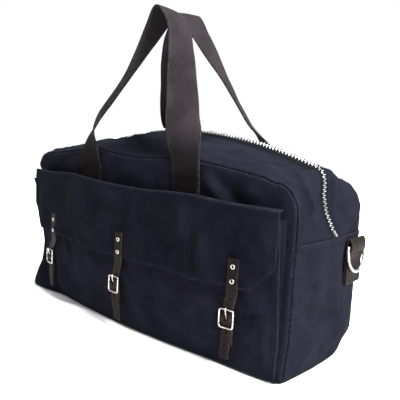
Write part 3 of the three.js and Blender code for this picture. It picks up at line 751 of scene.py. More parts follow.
def pocket_front():
    xs = steps(-POCKET_EDGE, POCKET_EDGE, 3.4 * MM)
    x, z = np.meshgrid(xs, steps(POCKET_FOOT, POCKET_TOP, 3.4 * MM), indexing="ij")
    y = -panel_depth(x, z) - pocket_face(np.clip(x, -POCKET_HALF, POCKET_HALF), z)
    pocket = Cloth(np.stack([x, y, z], axis=2))
    side = POCKET_EDGE - np.abs(x)
    low = z - POCKET_FOOT
    free = smooth(0, 22 * MM, side) * smooth(0, 30 * MM, low)
    room = smooth(134 * MM, 104 * MM, z)
    drape = drape_of(pocket, np.stack([x, z], axis=2), POCKET_FOLDS, 41, (5.6, 75), (5.6, 75)) * free * room
    calm = near_straps(x, 14 * MM) * smooth(8 * MM, 30 * MM, z)
    drape = drape * (1 - 0.75 * calm) - 1.0 * MM * calm * room
    pocket.push(drape)
    pocket.points[..., 1] += 3.5 * MM * smooth(92 * MM, 118 * MM, z) * smooth(0, 30 * MM, side)
    pocket.push(0.3 * MM * noise_field(pocket.points, 16 * MM, 43, 2) * free * room)
    wave = np.sin(z / (4.6 * MM) + 2 * noise_field(pocket.points, 50 * MM, 44, 1))
    pocket.push(0.9 * PUCKER * wave * bell(side, 10 * MM, 8 * MM) * smooth(200 * MM, 150 * MM, z))
    fell = 0.7 * MM * (smooth(9.5 * MM, 8.5 * MM, side) + smooth(8 * MM, 7 * MM, low))
    pocket.push(fell - 0.9 * MM * roll(side, 3 * MM) - 0.5 * MM * bell(side, 7 * MM, 0.9 * MM))
    pocket.points[..., 1] += SEAM_TUCK * roll(low, 9 * MM)
    pocket.wear = wear_along(np.minimum(side, POCKET_TOP - z), 1.8 * MM, pocket.points, 45, 0.7)
    pocket.slack(False)
    piece = pocket.build("pocket_front")
    return pocket, xs, piece


def pocket_side(name, sign):
    """The bellows: one pleat that folds inwards between the bag and the pocket's face."""
    zs = steps(26 * MM, POCKET_TOP, 4 * MM)
    s, z = np.meshgrid(np.linspace(0, 1, 13), zs, indexing="ij")
    x0 = POCKET_HALF - 1 * MM
    near = panel_depth(x0, z) + 0.6 * MM
    far = near + pocket_face(x0, z) - 2.2 * MM
    open_up = smooth(26 * MM, 120 * MM, z)
    pleat = (1 - np.abs(2 * s - 1)) ** 0.8 * (10 * MM * open_up)
    y = -(far + (near - far) * s)
    side = Cloth(np.stack([x0 - pleat, y, z], axis=2))
    side.push(0.6 * MM * noise_field(side.points, 25 * MM, 51, 2) * np.sin(math.pi * s))
    side.wear = wear_along(s * 20 * MM, 1.5 * MM, side.points, 52, 0.6)
    if sign < 0:
        side.points = (side.points * (-1, 1, 1))[::-1]
        side.wear = side.wear[::-1]
    side.slack(False)
    return side.build(name, 1.2 * MM)


FLAP_FOLDS = [
    ([(-150, 226), (-110, 190), (-60, 150)], 20, 5.7),
    ([(-20, 214), (-44, 170), (-100, 134)], 16, 6.1),
    ([(50, 224), (60, 180), (54, 140)], 22, -3.8),
    ([(158, 190), (166, 158), (174, 133)], 9, 6.8),
    ([(146, 188), (150, 158), (156, 133)], 8, -3.4),
    ([(100, 222), (128, 196), (140, 170)], 20, 5.7),
    ([(233, 163), (250, 160), (268, 157)], 6, 3.4),
    ([(228, 180), (250, 200), (262, 220)], 14, 4.6),
    ([(-240, 220), (-225, 180), (-232, 150)], 16, 4.8),
]


def soft_line(x, places, heights):
    """Heights given in mm at places in mm, joined without corners."""
    fine = np.arange(places[0], places[-1] + 1.0)
    values = np.interp(fine, places, heights)
    pad = np.pad(values, 12, mode="edge")
    values = np.convolve(pad, np.ones(25) / 25, mode="valid")
    return np.interp(x / MM, fine, values) * MM


def flap_edge(x):
    into = np.maximum(np.abs(x) - FLAP_CORNER, 0)
    hem = soft_line(x, (-280, -150, -72, -17, 12, 73, 126, 205, 280), (3, 2.5, -1, -2, -2, 1, -0.5, -2, 0))
    side = np.where(x < 0, FLAP_SIDE + 14 * MM, FLAP_SIDE)
    return FLAP_BOTTOM + hem + (side - FLAP_BOTTOM - hem) * into / FLAP_CHAMFER


def flap_rise(x):
    """How the flap's fold wanders above and below its height."""
    return soft_line(x, (-280, -204, -131, -63, -11, 56, 107, 152, 193, 280), (2, 3, 7.5, 3, 1, 1, 4, 4, 0, -3))


def pocket_flap():
    """One piece of canvas from its seam on the bag, over the fold and down to its hem."""
    xs = steps(-FLAP_HALF, FLAP_HALF, 3.4 * MM)
    out, turn = FLAP_OUT, FLAP_TURN
    stand = 4.4 * MM
    along = np.concatenate([np.linspace(0, out, 7)[:-1], out + np.linspace(0, turn, 7)])
    hang = steps(0, 1, 0.034, (0, 4, 9, 16, 30))[1:]
    rows = len(along) + len(hang)
    points = np.zeros((len(xs), rows, 3))
    edge = flap_edge(xs)
    fold_z = FLAP_FOLD + 1.2 * MM
    radius = turn * 2 / math.pi
    for j in range(rows):
        if j < len(along):
            run = along[j]
            angle = max(run - out, 0) / turn * math.pi / 2
            y = stand + min(run, out) * (FLAP_DEPTH - stand - radius) / out + radius * math.sin(angle)
            dip = -3.2 * MM * (1 - min(run, out) / out) ** 1.6
            z = fold_z + dip - radius * (1 - math.cos(angle)) + flap_rise(xs) * min(run, out) / out
        else:
            share = hang[j - len(along)]
            y = FLAP_DEPTH
            top = fold_z - radius + flap_rise(xs)
            z = top + (edge - top) * share
        across = xs * (1 - 0.03 * max(1 - along[min(j, len(along) - 1)] / out, 0))
        points[:, j] = np.stack([across, -panel_depth(xs, z) - y, z], axis=1)
    flap = Cloth(points[:, ::-1])
    x, z = flap.points[..., 0], flap.points[..., 2]
    hung = smooth(FLAP_FOLD - 2 * MM, FLAP_FOLD - 22 * MM, z - flap_rise(x))
    side = FLAP_HALF - np.abs(x)
    low = z - flap_edge(x)
    low = np.where(np.abs(x) > FLAP_CORNER, low * 0.71, low)
    edge_gap = np.minimum(side, low)
    calm = near_straps(x, 20 * MM) * smooth(185 * MM, 168 * MM, z)
    drape = drape_of(flap, np.stack([x, z], axis=2), FLAP_FOLDS, 61, (4.6, 70), (5.0, 70), fall=0.2)
    bow = 4.5 * MM * np.sin(math.pi * (x + 104 * MM) / (104 * MM)) ** 2
    drape += bow * smooth(205 * MM, 130 * MM, z) * smooth(245 * MM, 215 * MM, np.abs(x))
    flap.push(np.maximum(drape, -0.8 * MM) * hung * (1 - calm) * smooth(0, 12 * MM, side))
    hem = 0.55 * MM * smooth(9.5 * MM, 8.5 * MM, edge_gap) - 0.45 * MM * bell(edge_gap, FLAP_HEM, 0.9 * MM)
    hem = np.where(hung > 0.3, hem, 0)
    ripple = np.sin((x + z) / (4.4 * MM) + 2 * noise_field(flap.points, 40 * MM, 63, 1))
    hem = hem + 0.4 * MM * ripple * bell(edge_gap, 9 * MM, 6 * MM) * hung
    flap.push(hem * (1 - 0.8 * calm))
    fold_gap = np.abs(z - FLAP_FOLD - flap_rise(x))
    edge_wear = wear_along(edge_gap, 1.7 * MM, flap.points, 64, 0.9)
    fold_wear = wear_along(fold_gap, 2.2 * MM, flap.points, 65, 0.8)
    flap.wear = np.maximum(edge_wear, fold_wear)
    piece = flap.build("flap_canvas")
    return flap, xs, piece


# ---- Straps, buckles and rivets ----
def through(points, count, tension=None):
    """A smooth line through the points: centripetal, or with an even tension."""
    p = np.asarray(points, float)
    p = np.concatenate([[2 * p[0] - p[1]], p, [2 * p[-1] - p[-2]]])
    if tension is None:
        knots = np.concatenate([[0], np.cumsum(np.linalg.norm(np.diff(p, axis=0), axis=1) ** 0.5)])
    else:
        knots = np.arange(len(p), dtype=float)
    slopes = np.zeros_like(p)
    for i in range(1, len(p) - 1):
        if tension is None:
            before, after = knots[i] - knots[i - 1], knots[i + 1] - knots[i]
            slopes[i] = ((p[i] - p[i - 1]) / before - (p[i + 1] - p[i - 1]) / (before + after)
                         + (p[i + 1] - p[i]) / after)
        else:
            slopes[i] = tension * (p[i + 1] - p[i - 1])
    line = []
    for i in range(1, len(p) - 2):
        width = knots[i + 1] - knots[i]
        t = np.linspace(0, 1, 24, endpoint=i == len(p) - 3)[:, None]
        line.append((2 * t**3 - 3 * t**2 + 1) * p[i] + (t**3 - 2 * t**2 + t) * width * slopes[i]
                    + (3 * t**2 - 2 * t**3) * p[i + 1] + (t**3 - t**2) * width * slopes[i + 1])
    return resample(np.concatenate(line), count)


STRAP_WIDTH, STRAP_THICK = 15.5 * MM, 2 * MM
STRAP_TOP, STRAP_TAIL = STRAPS["middle"][1].z, STRAPS["middle"][0].z
# Where each strap passes its buckle, how far its top leans to the right, and how far its tip does.
STRAP_AT = {"left": -212.6 * MM, "middle": -6 * MM, "right": 205 * MM}
SWAY = {"left": 26 * MM, "middle": 11 * MM, "right": 8.5 * MM}
TIP_SWAY = {"left": 1.5 * MM, "middle": 6 * MM, "right": -2.5 * MM}
BUCKLE_Z, BUCKLE_STAND = 78 * MM, 9 * MM
BUCKLE_HALF_WIDTH, BUCKLE_HALF_HEIGHT, BUCKLE_WIRE = 10.6 * MM, 12.6 * MM, 1.2 * MM
BAR_RADIUS, BAR_SET_BACK, CHAPE_PLY, CHAPE_WIDTH, CHAPE_FOOT = 1.2 * MM, 3 * MM, 1.4 * MM, 14 * MM, 40 * MM
RIVET_HEIGHTS = (151.5 * MM, 132 * MM)
SPARE_HOLES = (106 * MM, 58 * MM, 40 * MM)


class StrapPlace:
    """Where one strap lies: x across it, y inwards from the flap's outer face, z the bag's height."""

    def __init__(self, x):
        slope = (panel_depth(x - MM, BUCKLE_Z) - panel_depth(x + MM, BUCKLE_Z)) / (2 * MM)
        self.x = x
        turn = math.atan(slope)
        self.across = np.array([math.cos(turn), math.sin(turn), 0])
        self.inward = np.array([-math.sin(turn), math.cos(turn), 0])
        self.origin = np.array([x, -panel_depth(x, BUCKLE_Z) - FLAP_DEPTH, 0])
        self.frame_y = FLAP_DEPTH - pocket_face(x, BUCKLE_Z) - BUCKLE_STAND

    def world(self, local):
        local = np.asarray(local, float)
        place = self.origin + local[..., :1] * self.across + local[..., 1:2] * self.inward
        place[..., 2] += local[..., 2]
        return place

    def flap_y(self, z):
        return panel_depth(self.x, BUCKLE_Z) - panel_depth(self.x, z)


def strap_line(place, count):
    """The strap's outer face, from its tail up to its end on the flap, as (y, z)."""
    half = STRAP_THICK / 2
    y = place.frame_y - half
    behind = 1.6 * MM + half + 0.4 * MM
    over = BAR_SET_BACK - (BAR_RADIUS + 0.3 * MM + CHAPE_PLY + 0.4 * MM + half)
    rail = BUCKLE_HALF_HEIGHT

    def on_flap(z):
        return (place.flap_y(z) - 0.4 * MM - STRAP_THICK, z)

    hem_y, hem_z = on_flap(118 * MM)
    points = [(y + behind + 1.6 * MM, STRAP_TAIL), (y + behind + 0.6 * MM, BUCKLE_Z - rail - 20 * MM),
              (y + behind + 0.3 * MM, BUCKLE_Z - rail), (y + over, BUCKLE_Z), (y + behind, BUCKLE_Z + rail),
              (hem_y + 1.5 * MM, hem_z), on_flap(126 * MM), on_flap(RIVET_HEIGHTS[0]), on_flap(STRAP_TOP)]
    return through(points, count, 0.3)


def strap_sway(side, z):
    return SWAY[side] * smooth(86 * MM, 122 * MM, z) + TIP_SWAY[side] * smooth(60 * MM, 25 * MM, z)


def strap(side, place):
    line = strap_line(place, 150)
    across = np.array([-1, -0.96, -0.9, -0.8, -0.5, 0, 0.5, 0.8, 0.9, 0.96, 1.0])
    half = STRAP_WIDTH / 2 * (0.84 + 0.16 * smooth(STRAP_TAIL, BUCKLE_Z, line[:, 1]))
    tail = smooth(0, 2.2 * MM, line[:, 1] - STRAP_TAIL) * 0.10 + 0.90
    local = np.zeros((len(across), len(line), 3))
    local[..., 0] = across[:, None] * (half * tail)[None] + strap_sway(side, line[:, 1])[None]
    local[..., 1] = line[None, :, 0] + 0.25 * MM * (across[:, None] ** 4)
    local[..., 2] = line[None, :, 1]
    leather = Cloth(place.world(local))
    leather.push(0.18 * MM * noise_field(leather.points, 16 * MM, 71 + int(place.x * 100), 2))
    worn = np.exp(-(1 - np.abs(across)) / 0.1)[:, None]
    holes = sum(bell(line[:, 1], z, 4 * MM) for z in SPARE_HOLES)
    leather.wear = np.clip(0.8 * worn + 0.35 * holes + 0.3 * bell(line[:, 1], BUCKLE_Z, 15 * MM), 0, 1)
    piece = leather.build(f"leather_strap_{side}", STRAP_THICK)
    cutters = Parts()
    for z in SPARE_HOLES:
        line = [(strap_sway(side, z), d * MM, z) for d in (-14, 0, 14, 40)]
        cutters.add(*tube(place.world(line), 1.5 * MM, 20))
    cutters.add(*slot_cutter(place, 1.5 * MM, 5.4 * MM, 2.6 * MM, -16 * MM, 14 * MM))
    cut_out(piece, cutters)
    return piece


def slot_cutter(place, half_width, half_height, up, near, far):
    """A solid for a slot through leather at the buckle's bar."""
    ring = np.array([(a, place.frame_y, BUCKLE_Z + up + b) for a, b in oval(half_width, half_height, 20)])
    return prism(place.world(ring + (0, near, 0)), place.world(ring + (0, far, 0)))


def oval(half_width, half_height, count):
    """A slot's outline: straight sides with round ends."""
    points = []
    for angle in np.linspace(0, 2 * math.pi, count, endpoint=False):
        up = (half_height - half_width) * (1 if math.sin(angle) >= 0 else -1)
        points.append((half_width * math.cos(angle), up + half_width * math.sin(angle)))
    return points


def prism(first, second):
    """A solid between two matching rings."""
    count = len(first)
    faces = [(k, (k + 1) % count, count + (k + 1) % count, count + k) for k in range(count)]
    faces += [tuple(range(count))[::-1], tuple(range(count, 2 * count))]
    return np.concatenate([first, second]), faces


def cut_out(piece, cutters):
    """Takes the cutters' solids out of a piece."""
    cutter = cutters.build("cutter")
    fix_normals(cutter)
    modifier = piece.modifiers.new("holes", "BOOLEAN")
    modifier.operation = "DIFFERENCE"
    modifier.solver = "EXACT"
    modifier.object = cutter
    apply_modifiers(piece)
    bpy.data.objects.remove(cutter)


def fix_normals(piece):
    grid = bmesh.new()
    grid.from_mesh(piece.data)
    bmesh.ops.recalc_face_normals(grid, faces=grid.faces)
    grid.to_mesh(piece.data)
    grid.free()


def apply_modifiers(piece):
    bpy.context.view_layer.update()
    ready = piece.evaluated_get(bpy.context.evaluated_depsgraph_get())
    mesh = bpy.data.meshes.new_from_object(ready)
    piece.modifiers.clear()
    piece.data = mesh


def rounded_ring(half_width, half_height, corner, count=9):
    """A rounded rectangle's centre line as (across, up) points."""
    points = []
    for quarter, (sx, sz) in enumerate(((1, 1), (-1, 1), (-1, -1), (1, -1))):
        for angle in np.linspace(quarter, quarter + 1, count) * math.pi / 2:
            points.append((sx * (half_width - corner) + corner * math.cos(angle),
                           sz * (half_height - corner) + corner * math.sin(angle)))
    return points


def buckle_frame(side, place):
    """A bent wire frame with its bar set back behind it."""
    centre = np.array([0, place.frame_y, BUCKLE_Z])
    parts = Parts()
    ring = [(a, 0.5 * MM * (b / BUCKLE_HALF_HEIGHT) ** 2 - 0.25 * MM, b)
            for a, b in rounded_ring(BUCKLE_HALF_WIDTH, BUCKLE_HALF_HEIGHT, 3.4 * MM)]
    parts.add(*tube(place.world(centre + np.array(ring)), BUCKLE_WIRE, 16, closed=True))
    w, back = BUCKLE_HALF_WIDTH, BAR_SET_BACK
    bar = through([(-w, 0, 0), (-w + 1.6 * MM, back * 0.8, 0), (-w + 3 * MM, back, 0), (w - 3 * MM, back, 0),
                   (w - 1.6 * MM, back * 0.8, 0), (w, 0, 0)], 40)
    parts.add(*tube(place.world(centre + bar), BAR_RADIUS, 12))
    return parts.build(f"buckle_{side}")


def tongue(side, place):
    """A prong looped round the bar, with its tip on the frame's upper rail."""
    centre = np.array([0, place.frame_y, BUCKLE_Z])
    back, rail = BAR_SET_BACK, BUCKLE_HALF_HEIGHT
    tip = -(BUCKLE_WIRE + 0.2 * MM + 1.0 * MM)
    line = through([(0, back - 1.9 * MM, 1.2 * MM), (0, back - 2.4 * MM, 3.2 * MM), (0, back - 4.1 * MM, rail * 0.5),
                    (0, tip, rail * 0.9), (0, tip + 0.1 * MM, rail + 2.2 * MM)], 40)
    parts = Parts()
    parts.add(*tube(place.world(centre + line), 1.0 * MM, 12))
    loop = [(0, back + 2.1 * MM * math.cos(a), 2.1 * MM * math.sin(a))
            for a in np.linspace(0, 2 * math.pi, 24, endpoint=False)]
    parts.add(*tube(place.world(centre + np.array(loop)), 0.75 * MM, 10, closed=True))
    return parts.build(f"tongue_{side}")


def strip(name, path, across, thickness, wear_seed, into_world):
    """A leather strip: its outer face follows path, a list of (outward, up), at places across."""
    grid = np.zeros((len(across), len(path), 3))
    grid[..., 0] = across[:, None]
    grid[..., 1] = -path[None, :, 0]
    grid[..., 2] = path[None, :, 1]
    leather = Cloth(into_world(grid))
    leather.push(0.15 * MM * noise_field(leather.points, 14 * MM, wear_seed, 2))
    rim = (across[-1] - np.abs(across)) / MM
    leather.wear = np.repeat(np.exp(-rim / 0.9)[:, None] * 0.8, len(path), axis=1)
    return leather, leather.build(name, thickness)


def chape(side, place):
    """The short doubled strap that holds the bar, open at its fold for the tongue."""
    rail = BUCKLE_HALF_HEIGHT
    mid = BAR_RADIUS + 0.3 * MM + CHAPE_PLY
    front = 2 * 1.6 * MM + STRAP_THICK + 0.88 * MM
    rows = [(-front, CHAPE_FOOT - BUCKLE_Z), (-front, -rail - 10 * MM), (-front, -rail + 2 * MM),
            (-front + 2.0 * MM, -rail * 0.55), (-BAR_SET_BACK + mid * 0.8, -mid * 0.9)]
    rows += [(-BAR_SET_BACK + mid * math.cos(a), mid * math.sin(a)) for a in np.linspace(-0.35, math.pi - 0.2, 9)]
    low = front + 2 * CHAPE_PLY
    rows += [(-low + 1.2 * MM, -rail * 0.45), (-low, -rail * 0.8), (-low, -rail - 10 * MM),
             (-low, CHAPE_FOOT - BUCKLE_Z)]
    path = through(rows, 120)
    across = steps(-CHAPE_WIDTH / 2, CHAPE_WIDTH / 2, 2.2 * MM, (0, 0.4, 1.0))

    def into_world(grid):
        return place.world(grid + (0, place.frame_y, BUCKLE_Z))

    _, piece = strip(f"leather_chape_{side}", path, across, CHAPE_PLY, 81, into_world)
    cutters = Parts()
    cutters.add(*slot_cutter(place, 1.7 * MM, 4.6 * MM, 0.6 * MM, -5 * MM, BAR_SET_BACK + 5 * MM))
    cut_out(piece, cutters)
    return piece


def lathe(profile, place, axis, sides=28):
    """A turned solid: profile is (radius, height) points that close on themselves."""
    axis = units(np.asarray(axis, float))
    side = units(np.cross(axis, (0.1, 0.2, 1.0)))
    up = np.cross(axis, side)
    rings = []
    for angle in np.linspace(0, 2 * math.pi, sides, endpoint=False):
        around = math.cos(angle) * side + math.sin(angle) * up
        rings.append([place + around * r + axis * h for r, h in profile])
    count = len(profile)
    faces = []
    for r in range(sides):
        a, b = r * count, ((r + 1) % sides) * count
        for k in range(count):
            n = (k + 1) % count
            faces.append((a + k, a + n, b + n, b + k))
    return np.concatenate(rings), faces


# A tubular rivet's section: (radius, height) in mm from the strap's face.
RIVET_PROFILE = [(1.85, 0.3), (1.9, 0.7), (2.2, 1.0), (2.7, 1.05), (3.2, 0.7), (3.5, 0.25), (3.4, 0.0), (2.1, 0.0),
                 (2.1, -4.6), (2.8, -4.6), (3.0, -4.85), (2.8, -5.1), (1.9, -5.2), (1.8, -4.9)]


def rivet(side, place, name, z):
    slope = (place.flap_y(z - MM / 2) - place.flap_y(z + MM / 2)) / MM
    axis = -place.inward - np.array([0, 0, slope])
    face = place.flap_y(z) - 0.4 * MM - STRAP_THICK - 0.15 * MM
    parts = Parts()
    profile = [(r * MM, h * MM) for r, h in RIVET_PROFILE]
    parts.add(*lathe(profile, place.world(np.array([strap_sway(side, z), face, z])), axis))
    return parts.build(f"tubular_rivet_{side}_{name}")


# ---- Handles ----
WEB_HALF, WEB_THICK, LEG_X, WEB_COUNT = 25 * MM, 3 * MM, 109 * MM, 420
FOOT_LOW, HINGE_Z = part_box("handle_anchor_front_left")[0].z, 262 * MM
# Each handle's middle line in mm, seen from its own side of the bag: its left leg up to the top, then its
# right leg up to the top. The turns are degrees of twist at heights in mm.
TOP_HEIGHTS = (264, 290, 315, 340, 370, 410, 450, 510)
FRONT_LEGS = ([(-109, -119.6, 264), (-108, -119.6, 288), (-105, -118.5, 312), (-98, -113, 336), (-85, -99, 366),
               (-64, -87, 400), (-40, -77, 440), (-14, -71, 480), (11, -71, 505.4)],
              [(109, -119.6, 264), (103, -115, 288), (94, -110, 312), (85, -104, 336), (77, -97, 366),
               (65, -88, 400), (52, -78, 440), (35, -70, 480), (11, -71, 505.4)])
FRONT_TWIST = ((2, 15, 42, 50, 54, 56, 68, 95), (2, 7, 32, 60, 68, 79, 90, 95))
BACK_LEGS = ([(-109, -119.6, 264), (-105, -108, 288), (-98, -86, 312), (-88, -62, 336), (-77, -42, 366),
              (-63, -26, 400), (-42, -11, 440), (-18, 0, 480), (6, 7.6, 511.5)],
             [(109, -119.6, 264), (107, -107, 288), (102, -87, 312), (93, -65, 336), (80, -46, 366),
              (66, -29, 400), (52, -11, 440), (33, 3, 480), (6, 7.6, 511.5)])
BACK_TWIST = ((0, 26, 48, 60, 61, 69, 84, 95), (0, 12, 28, 46, 63, 75, 83, 95))


def handle(name, legs, twist, seed):
    """One length of webbing, sewn flat at both feet and twisted a quarter turn up to its top."""
    halves = []
    for sign, leg in zip((-1, 1), legs):
        heights = np.linspace(FOOT_LOW, 254 * MM, 5)
        x = np.full(5, sign * LEG_X)
        foot = np.stack([x, -panel_depth(x, heights) - 0.5 * MM - WEB_THICK / 2, heights], axis=1)
        halves.append(np.concatenate([foot, np.array(leg) * MM]))
    path = through(np.concatenate([halves[0], halves[1][:-1][::-1]]), WEB_COUNT)
    tangent = units(np.gradient(path, axis=0))
    back = units(np.array([0, 1, 0]) - tangent * tangent[:, 1:2])
    outer = np.cross(tangent, back)
    length = run_of(path)
    from_foot = np.minimum(length, length[-1] - length) - (HINGE_Z - FOOT_LOW)
    top = int(path[:, 2].argmax())
    turns = [np.interp(path[:, 2] / MM, TOP_HEIGHTS, degrees) for degrees in twist]
    turn = np.where(np.arange(WEB_COUNT) <= top, *turns)
    for _ in range(30):
        turn[1:-1] = (turn[:-2] + 2 * turn[1:-1] + turn[2:]) / 4
    turn = np.radians(turn * smooth(0, 12 * MM, from_foot))[:, None]
    across = outer * np.cos(turn) + back * np.sin(turn)
    facing = np.cross(tangent, across)
    places = steps(-WEB_HALF, WEB_HALF, 3 * MM, (0, 0.5, 1.2, 2.4))
    cup = 0.9 * MM * (places / WEB_HALF) ** 2 * smooth(0, 0.1, from_foot)[:, None]
    stand = (WEB_THICK / 2 - cup)[..., None]
    web = Cloth(path[:, None] + across[:, None] * places[None, :, None] + facing[:, None] * stand)
    free = smooth(0, 30 * MM, from_foot)[:, None]
    web.push(0.9 * MM * noise_field(web.points, 70 * MM, seed, 2) * free)
    rim = (WEB_HALF - np.abs(places))[None]
    patchy = 0.5 + 0.4 * noise_field(web.points, 20 * MM, seed + 1, 2)
    web.wear = np.clip(np.exp(-rim / (1.5 * MM)) * patchy, 0, 1)
    piece = web.build(name, WEB_THICK, 0.35)
    return web, places, length, piece


# ---- D-rings and tabs ----
RING_X, RING_Y, RING_Z = 293.7 * MM, 55 * MM, 168 * MM
RING_HALF, RING_WIRE, RING_SIDE, RING_TILT = 26.5 * MM, 2.2 * MM, 12 * MM, math.radians(7)
TAB_HALF, TAB_PLY, TAB_FOOT = 22 * MM, 2.8 * MM, 113 * MM


def ring_place(sign):
    """Takes local points to the ring at one end: x across the tab, -y outwards, z up from the bar."""
    def into_world(grid):
        x, y, z = np.moveaxis(np.asarray(grid, float), -1, 0)
        return np.stack([sign * (RING_X - y), RING_Y + sign * x, RING_Z + z], axis=-1)

    return into_world


def d_ring(name, sign):
    corner = 4 * MM
    inset = RING_HALF - corner
    line = [(RING_HALF * math.cos(angle), -RING_SIDE + (RING_HALF - MM) * math.sin(angle))
            for angle in np.linspace(math.pi, 2 * math.pi, 30)]
    for start, centre in ((0, inset), (math.pi / 2, -inset)):
        line += [(centre + corner * math.cos(angle), -corner + corner * math.sin(angle))
                 for angle in np.linspace(start, start + math.pi / 2, 7)]
    local = np.array([(a, math.sin(RING_TILT) * b, math.cos(RING_TILT) * b) for a, b in line])
    parts = Parts()
    parts.add(*tube(ring_place(sign)(local), RING_WIRE, 18, closed=True))
    return parts.build(name)


def ring_tab(side, sign):
    """A strip folded over the ring's bar, its two plies sewn together and to the end panel."""
    outer = RING_WIRE + 0.3 * MM + TAB_PLY
    foot = TAB_FOOT - RING_Z
    rows = [(-outer + 2 * TAB_PLY, foot), (-outer + 2 * TAB_PLY, -40 * MM), (-outer + 2 * TAB_PLY, -20 * MM),
            (outer - 2.6 * MM, -11 * MM), (outer - 0.4 * MM, -4 * MM)]
    rows += [(outer * math.cos(a), 2.4 * outer * math.sin(a)) for a in np.linspace(0, math.pi, 11)]
    rows += [(-outer, -10 * MM), (-outer, -30 * MM), (-outer, foot)]
    path = through(rows, 150)
    across = steps(-TAB_HALF, TAB_HALF, 3 * MM, (0, 0.5, 1.2, 2.4))
    leather, piece = strip(f"leather_tab_{side}", path, across, TAB_PLY, 91, ring_place(sign))
    return leather, across, path, piece


# ---- Materials ----
class Surface:
    """A node material under construction."""

    def __init__(self, name, roughness, **sockets):
        self.material = bpy.data.materials.new(name)
        self.material.use_nodes = True
        self.tree = self.material.node_tree
        self.shader = self.tree.nodes["Principled BSDF"]
        self.shader.inputs["Roughness"].default_value = roughness
        for socket, value in sockets.items():
            self.shader.inputs[socket.replace("_", " ")].default_value = value

    def node(self, kind, inputs=(), **settings):
        made = self.tree.nodes.new(kind)
        for key, value in settings.items():
            setattr(made, key, value)
        for key, value in dict(inputs).items():
            if isinstance(value, bpy.types.NodeSocket):
                self.tree.links.new(value, made.inputs[key])
            else:
                made.inputs[key].default_value = value
        return made

    def math(self, operation, first, second=0.0, third=0.0, clamp=False):
        return self.node("ShaderNodeMath", {0: first, 1: second, 2: third}, operation=operation,
                         use_clamp=clamp).outputs[0]

    def ridges(self, value, pitch):
        """Rounded ridges a pitch apart along a coordinate, 0 to 1."""
        return self.math("ABSOLUTE", self.math("SINE", self.math("MULTIPLY", value, math.pi / pitch)))

    def rubbed(self, size, low, high):
        """Where the painted wear shows, in patches."""
        patches = self.spread(self.noise(size, 3), low, high)
        return self.math("MULTIPLY", self.attribute("wear"), patches, clamp=True)

    def weave(self):
        place = self.node("ShaderNodeUVMap", uv_map="weave").outputs[0]
        split = self.node("ShaderNodeSeparateXYZ", {0: place})
        return split.outputs[0], split.outputs[1]

    def position(self):
        return self.node("ShaderNodeTexCoord").outputs["Object"]

    def noise(self, size, detail=2.0, roughness=0.5):
        return self.node("ShaderNodeTexNoise", {"Vector": self.position(), "Scale": 1 / size, "Detail": detail,
                                                "Roughness": roughness}).outputs[0]

    def attribute(self, name):
        return self.node("ShaderNodeAttribute", attribute_name=name).outputs["Fac"]

    def spread(self, value, low, high):
        return self.node("ShaderNodeMapRange", {"Value": value, "From Min": low, "From Max": high},
                         interpolation_type="SMOOTHSTEP").outputs[0]

    def blend(self, share, first, second):
        mix = self.node("ShaderNodeMix", data_type="RGBA")
        for index, value in ((0, share), (6, first), (7, second)):
            if isinstance(value, bpy.types.NodeSocket):
                self.tree.links.new(value, mix.inputs[index])
            else:
                mix.inputs[index].default_value = value if index == 0 else (*value, 1)
        return mix.outputs[2]

    def colour(self, value):
        self.tree.links.new(value, self.shader.inputs["Base Color"])

    def rough(self, value):
        self.tree.links.new(value, self.shader.inputs["Roughness"])

    def bump(self, *layers):
        """Each layer is (height, depth in metres)."""
        under = None
        for height, depth in layers:
            inputs = {"Height": height, "Distance": depth, "Strength": 1.0}
            if under is not None:
                inputs["Normal"] = under
            under = self.node("ShaderNodeBump", inputs).outputs[0]
        self.tree.links.new(under, self.shader.inputs["Normal"])


def over_under(surface, u, v, pitch):
    """Height of a plain weave: each thread rises where it passes over the other."""
    waves = [surface.math("SINE", surface.math("MULTIPLY", way, math.pi / pitch)) for way in (u, v)]
    heights = [surface.math("ABSOLUTE", wave) for wave in waves]
    over = surface.math("MULTIPLY_ADD", surface.math("MULTIPLY", *waves), 3.0, 0.5, clamp=True)
    upper = surface.math("MULTIPLY", heights[0], over)
    lower = surface.math("MULTIPLY", heights[1], surface.math("SUBTRACT", 1.0, over))
    return surface.math("ADD", upper, lower)


# Scales a colour: at 1.0 it is the canvas's dye, below 1.0 it adds painted shade.
def dyed_and_shaded(depth, *colour):
    return tuple(depth * part for part in colour)


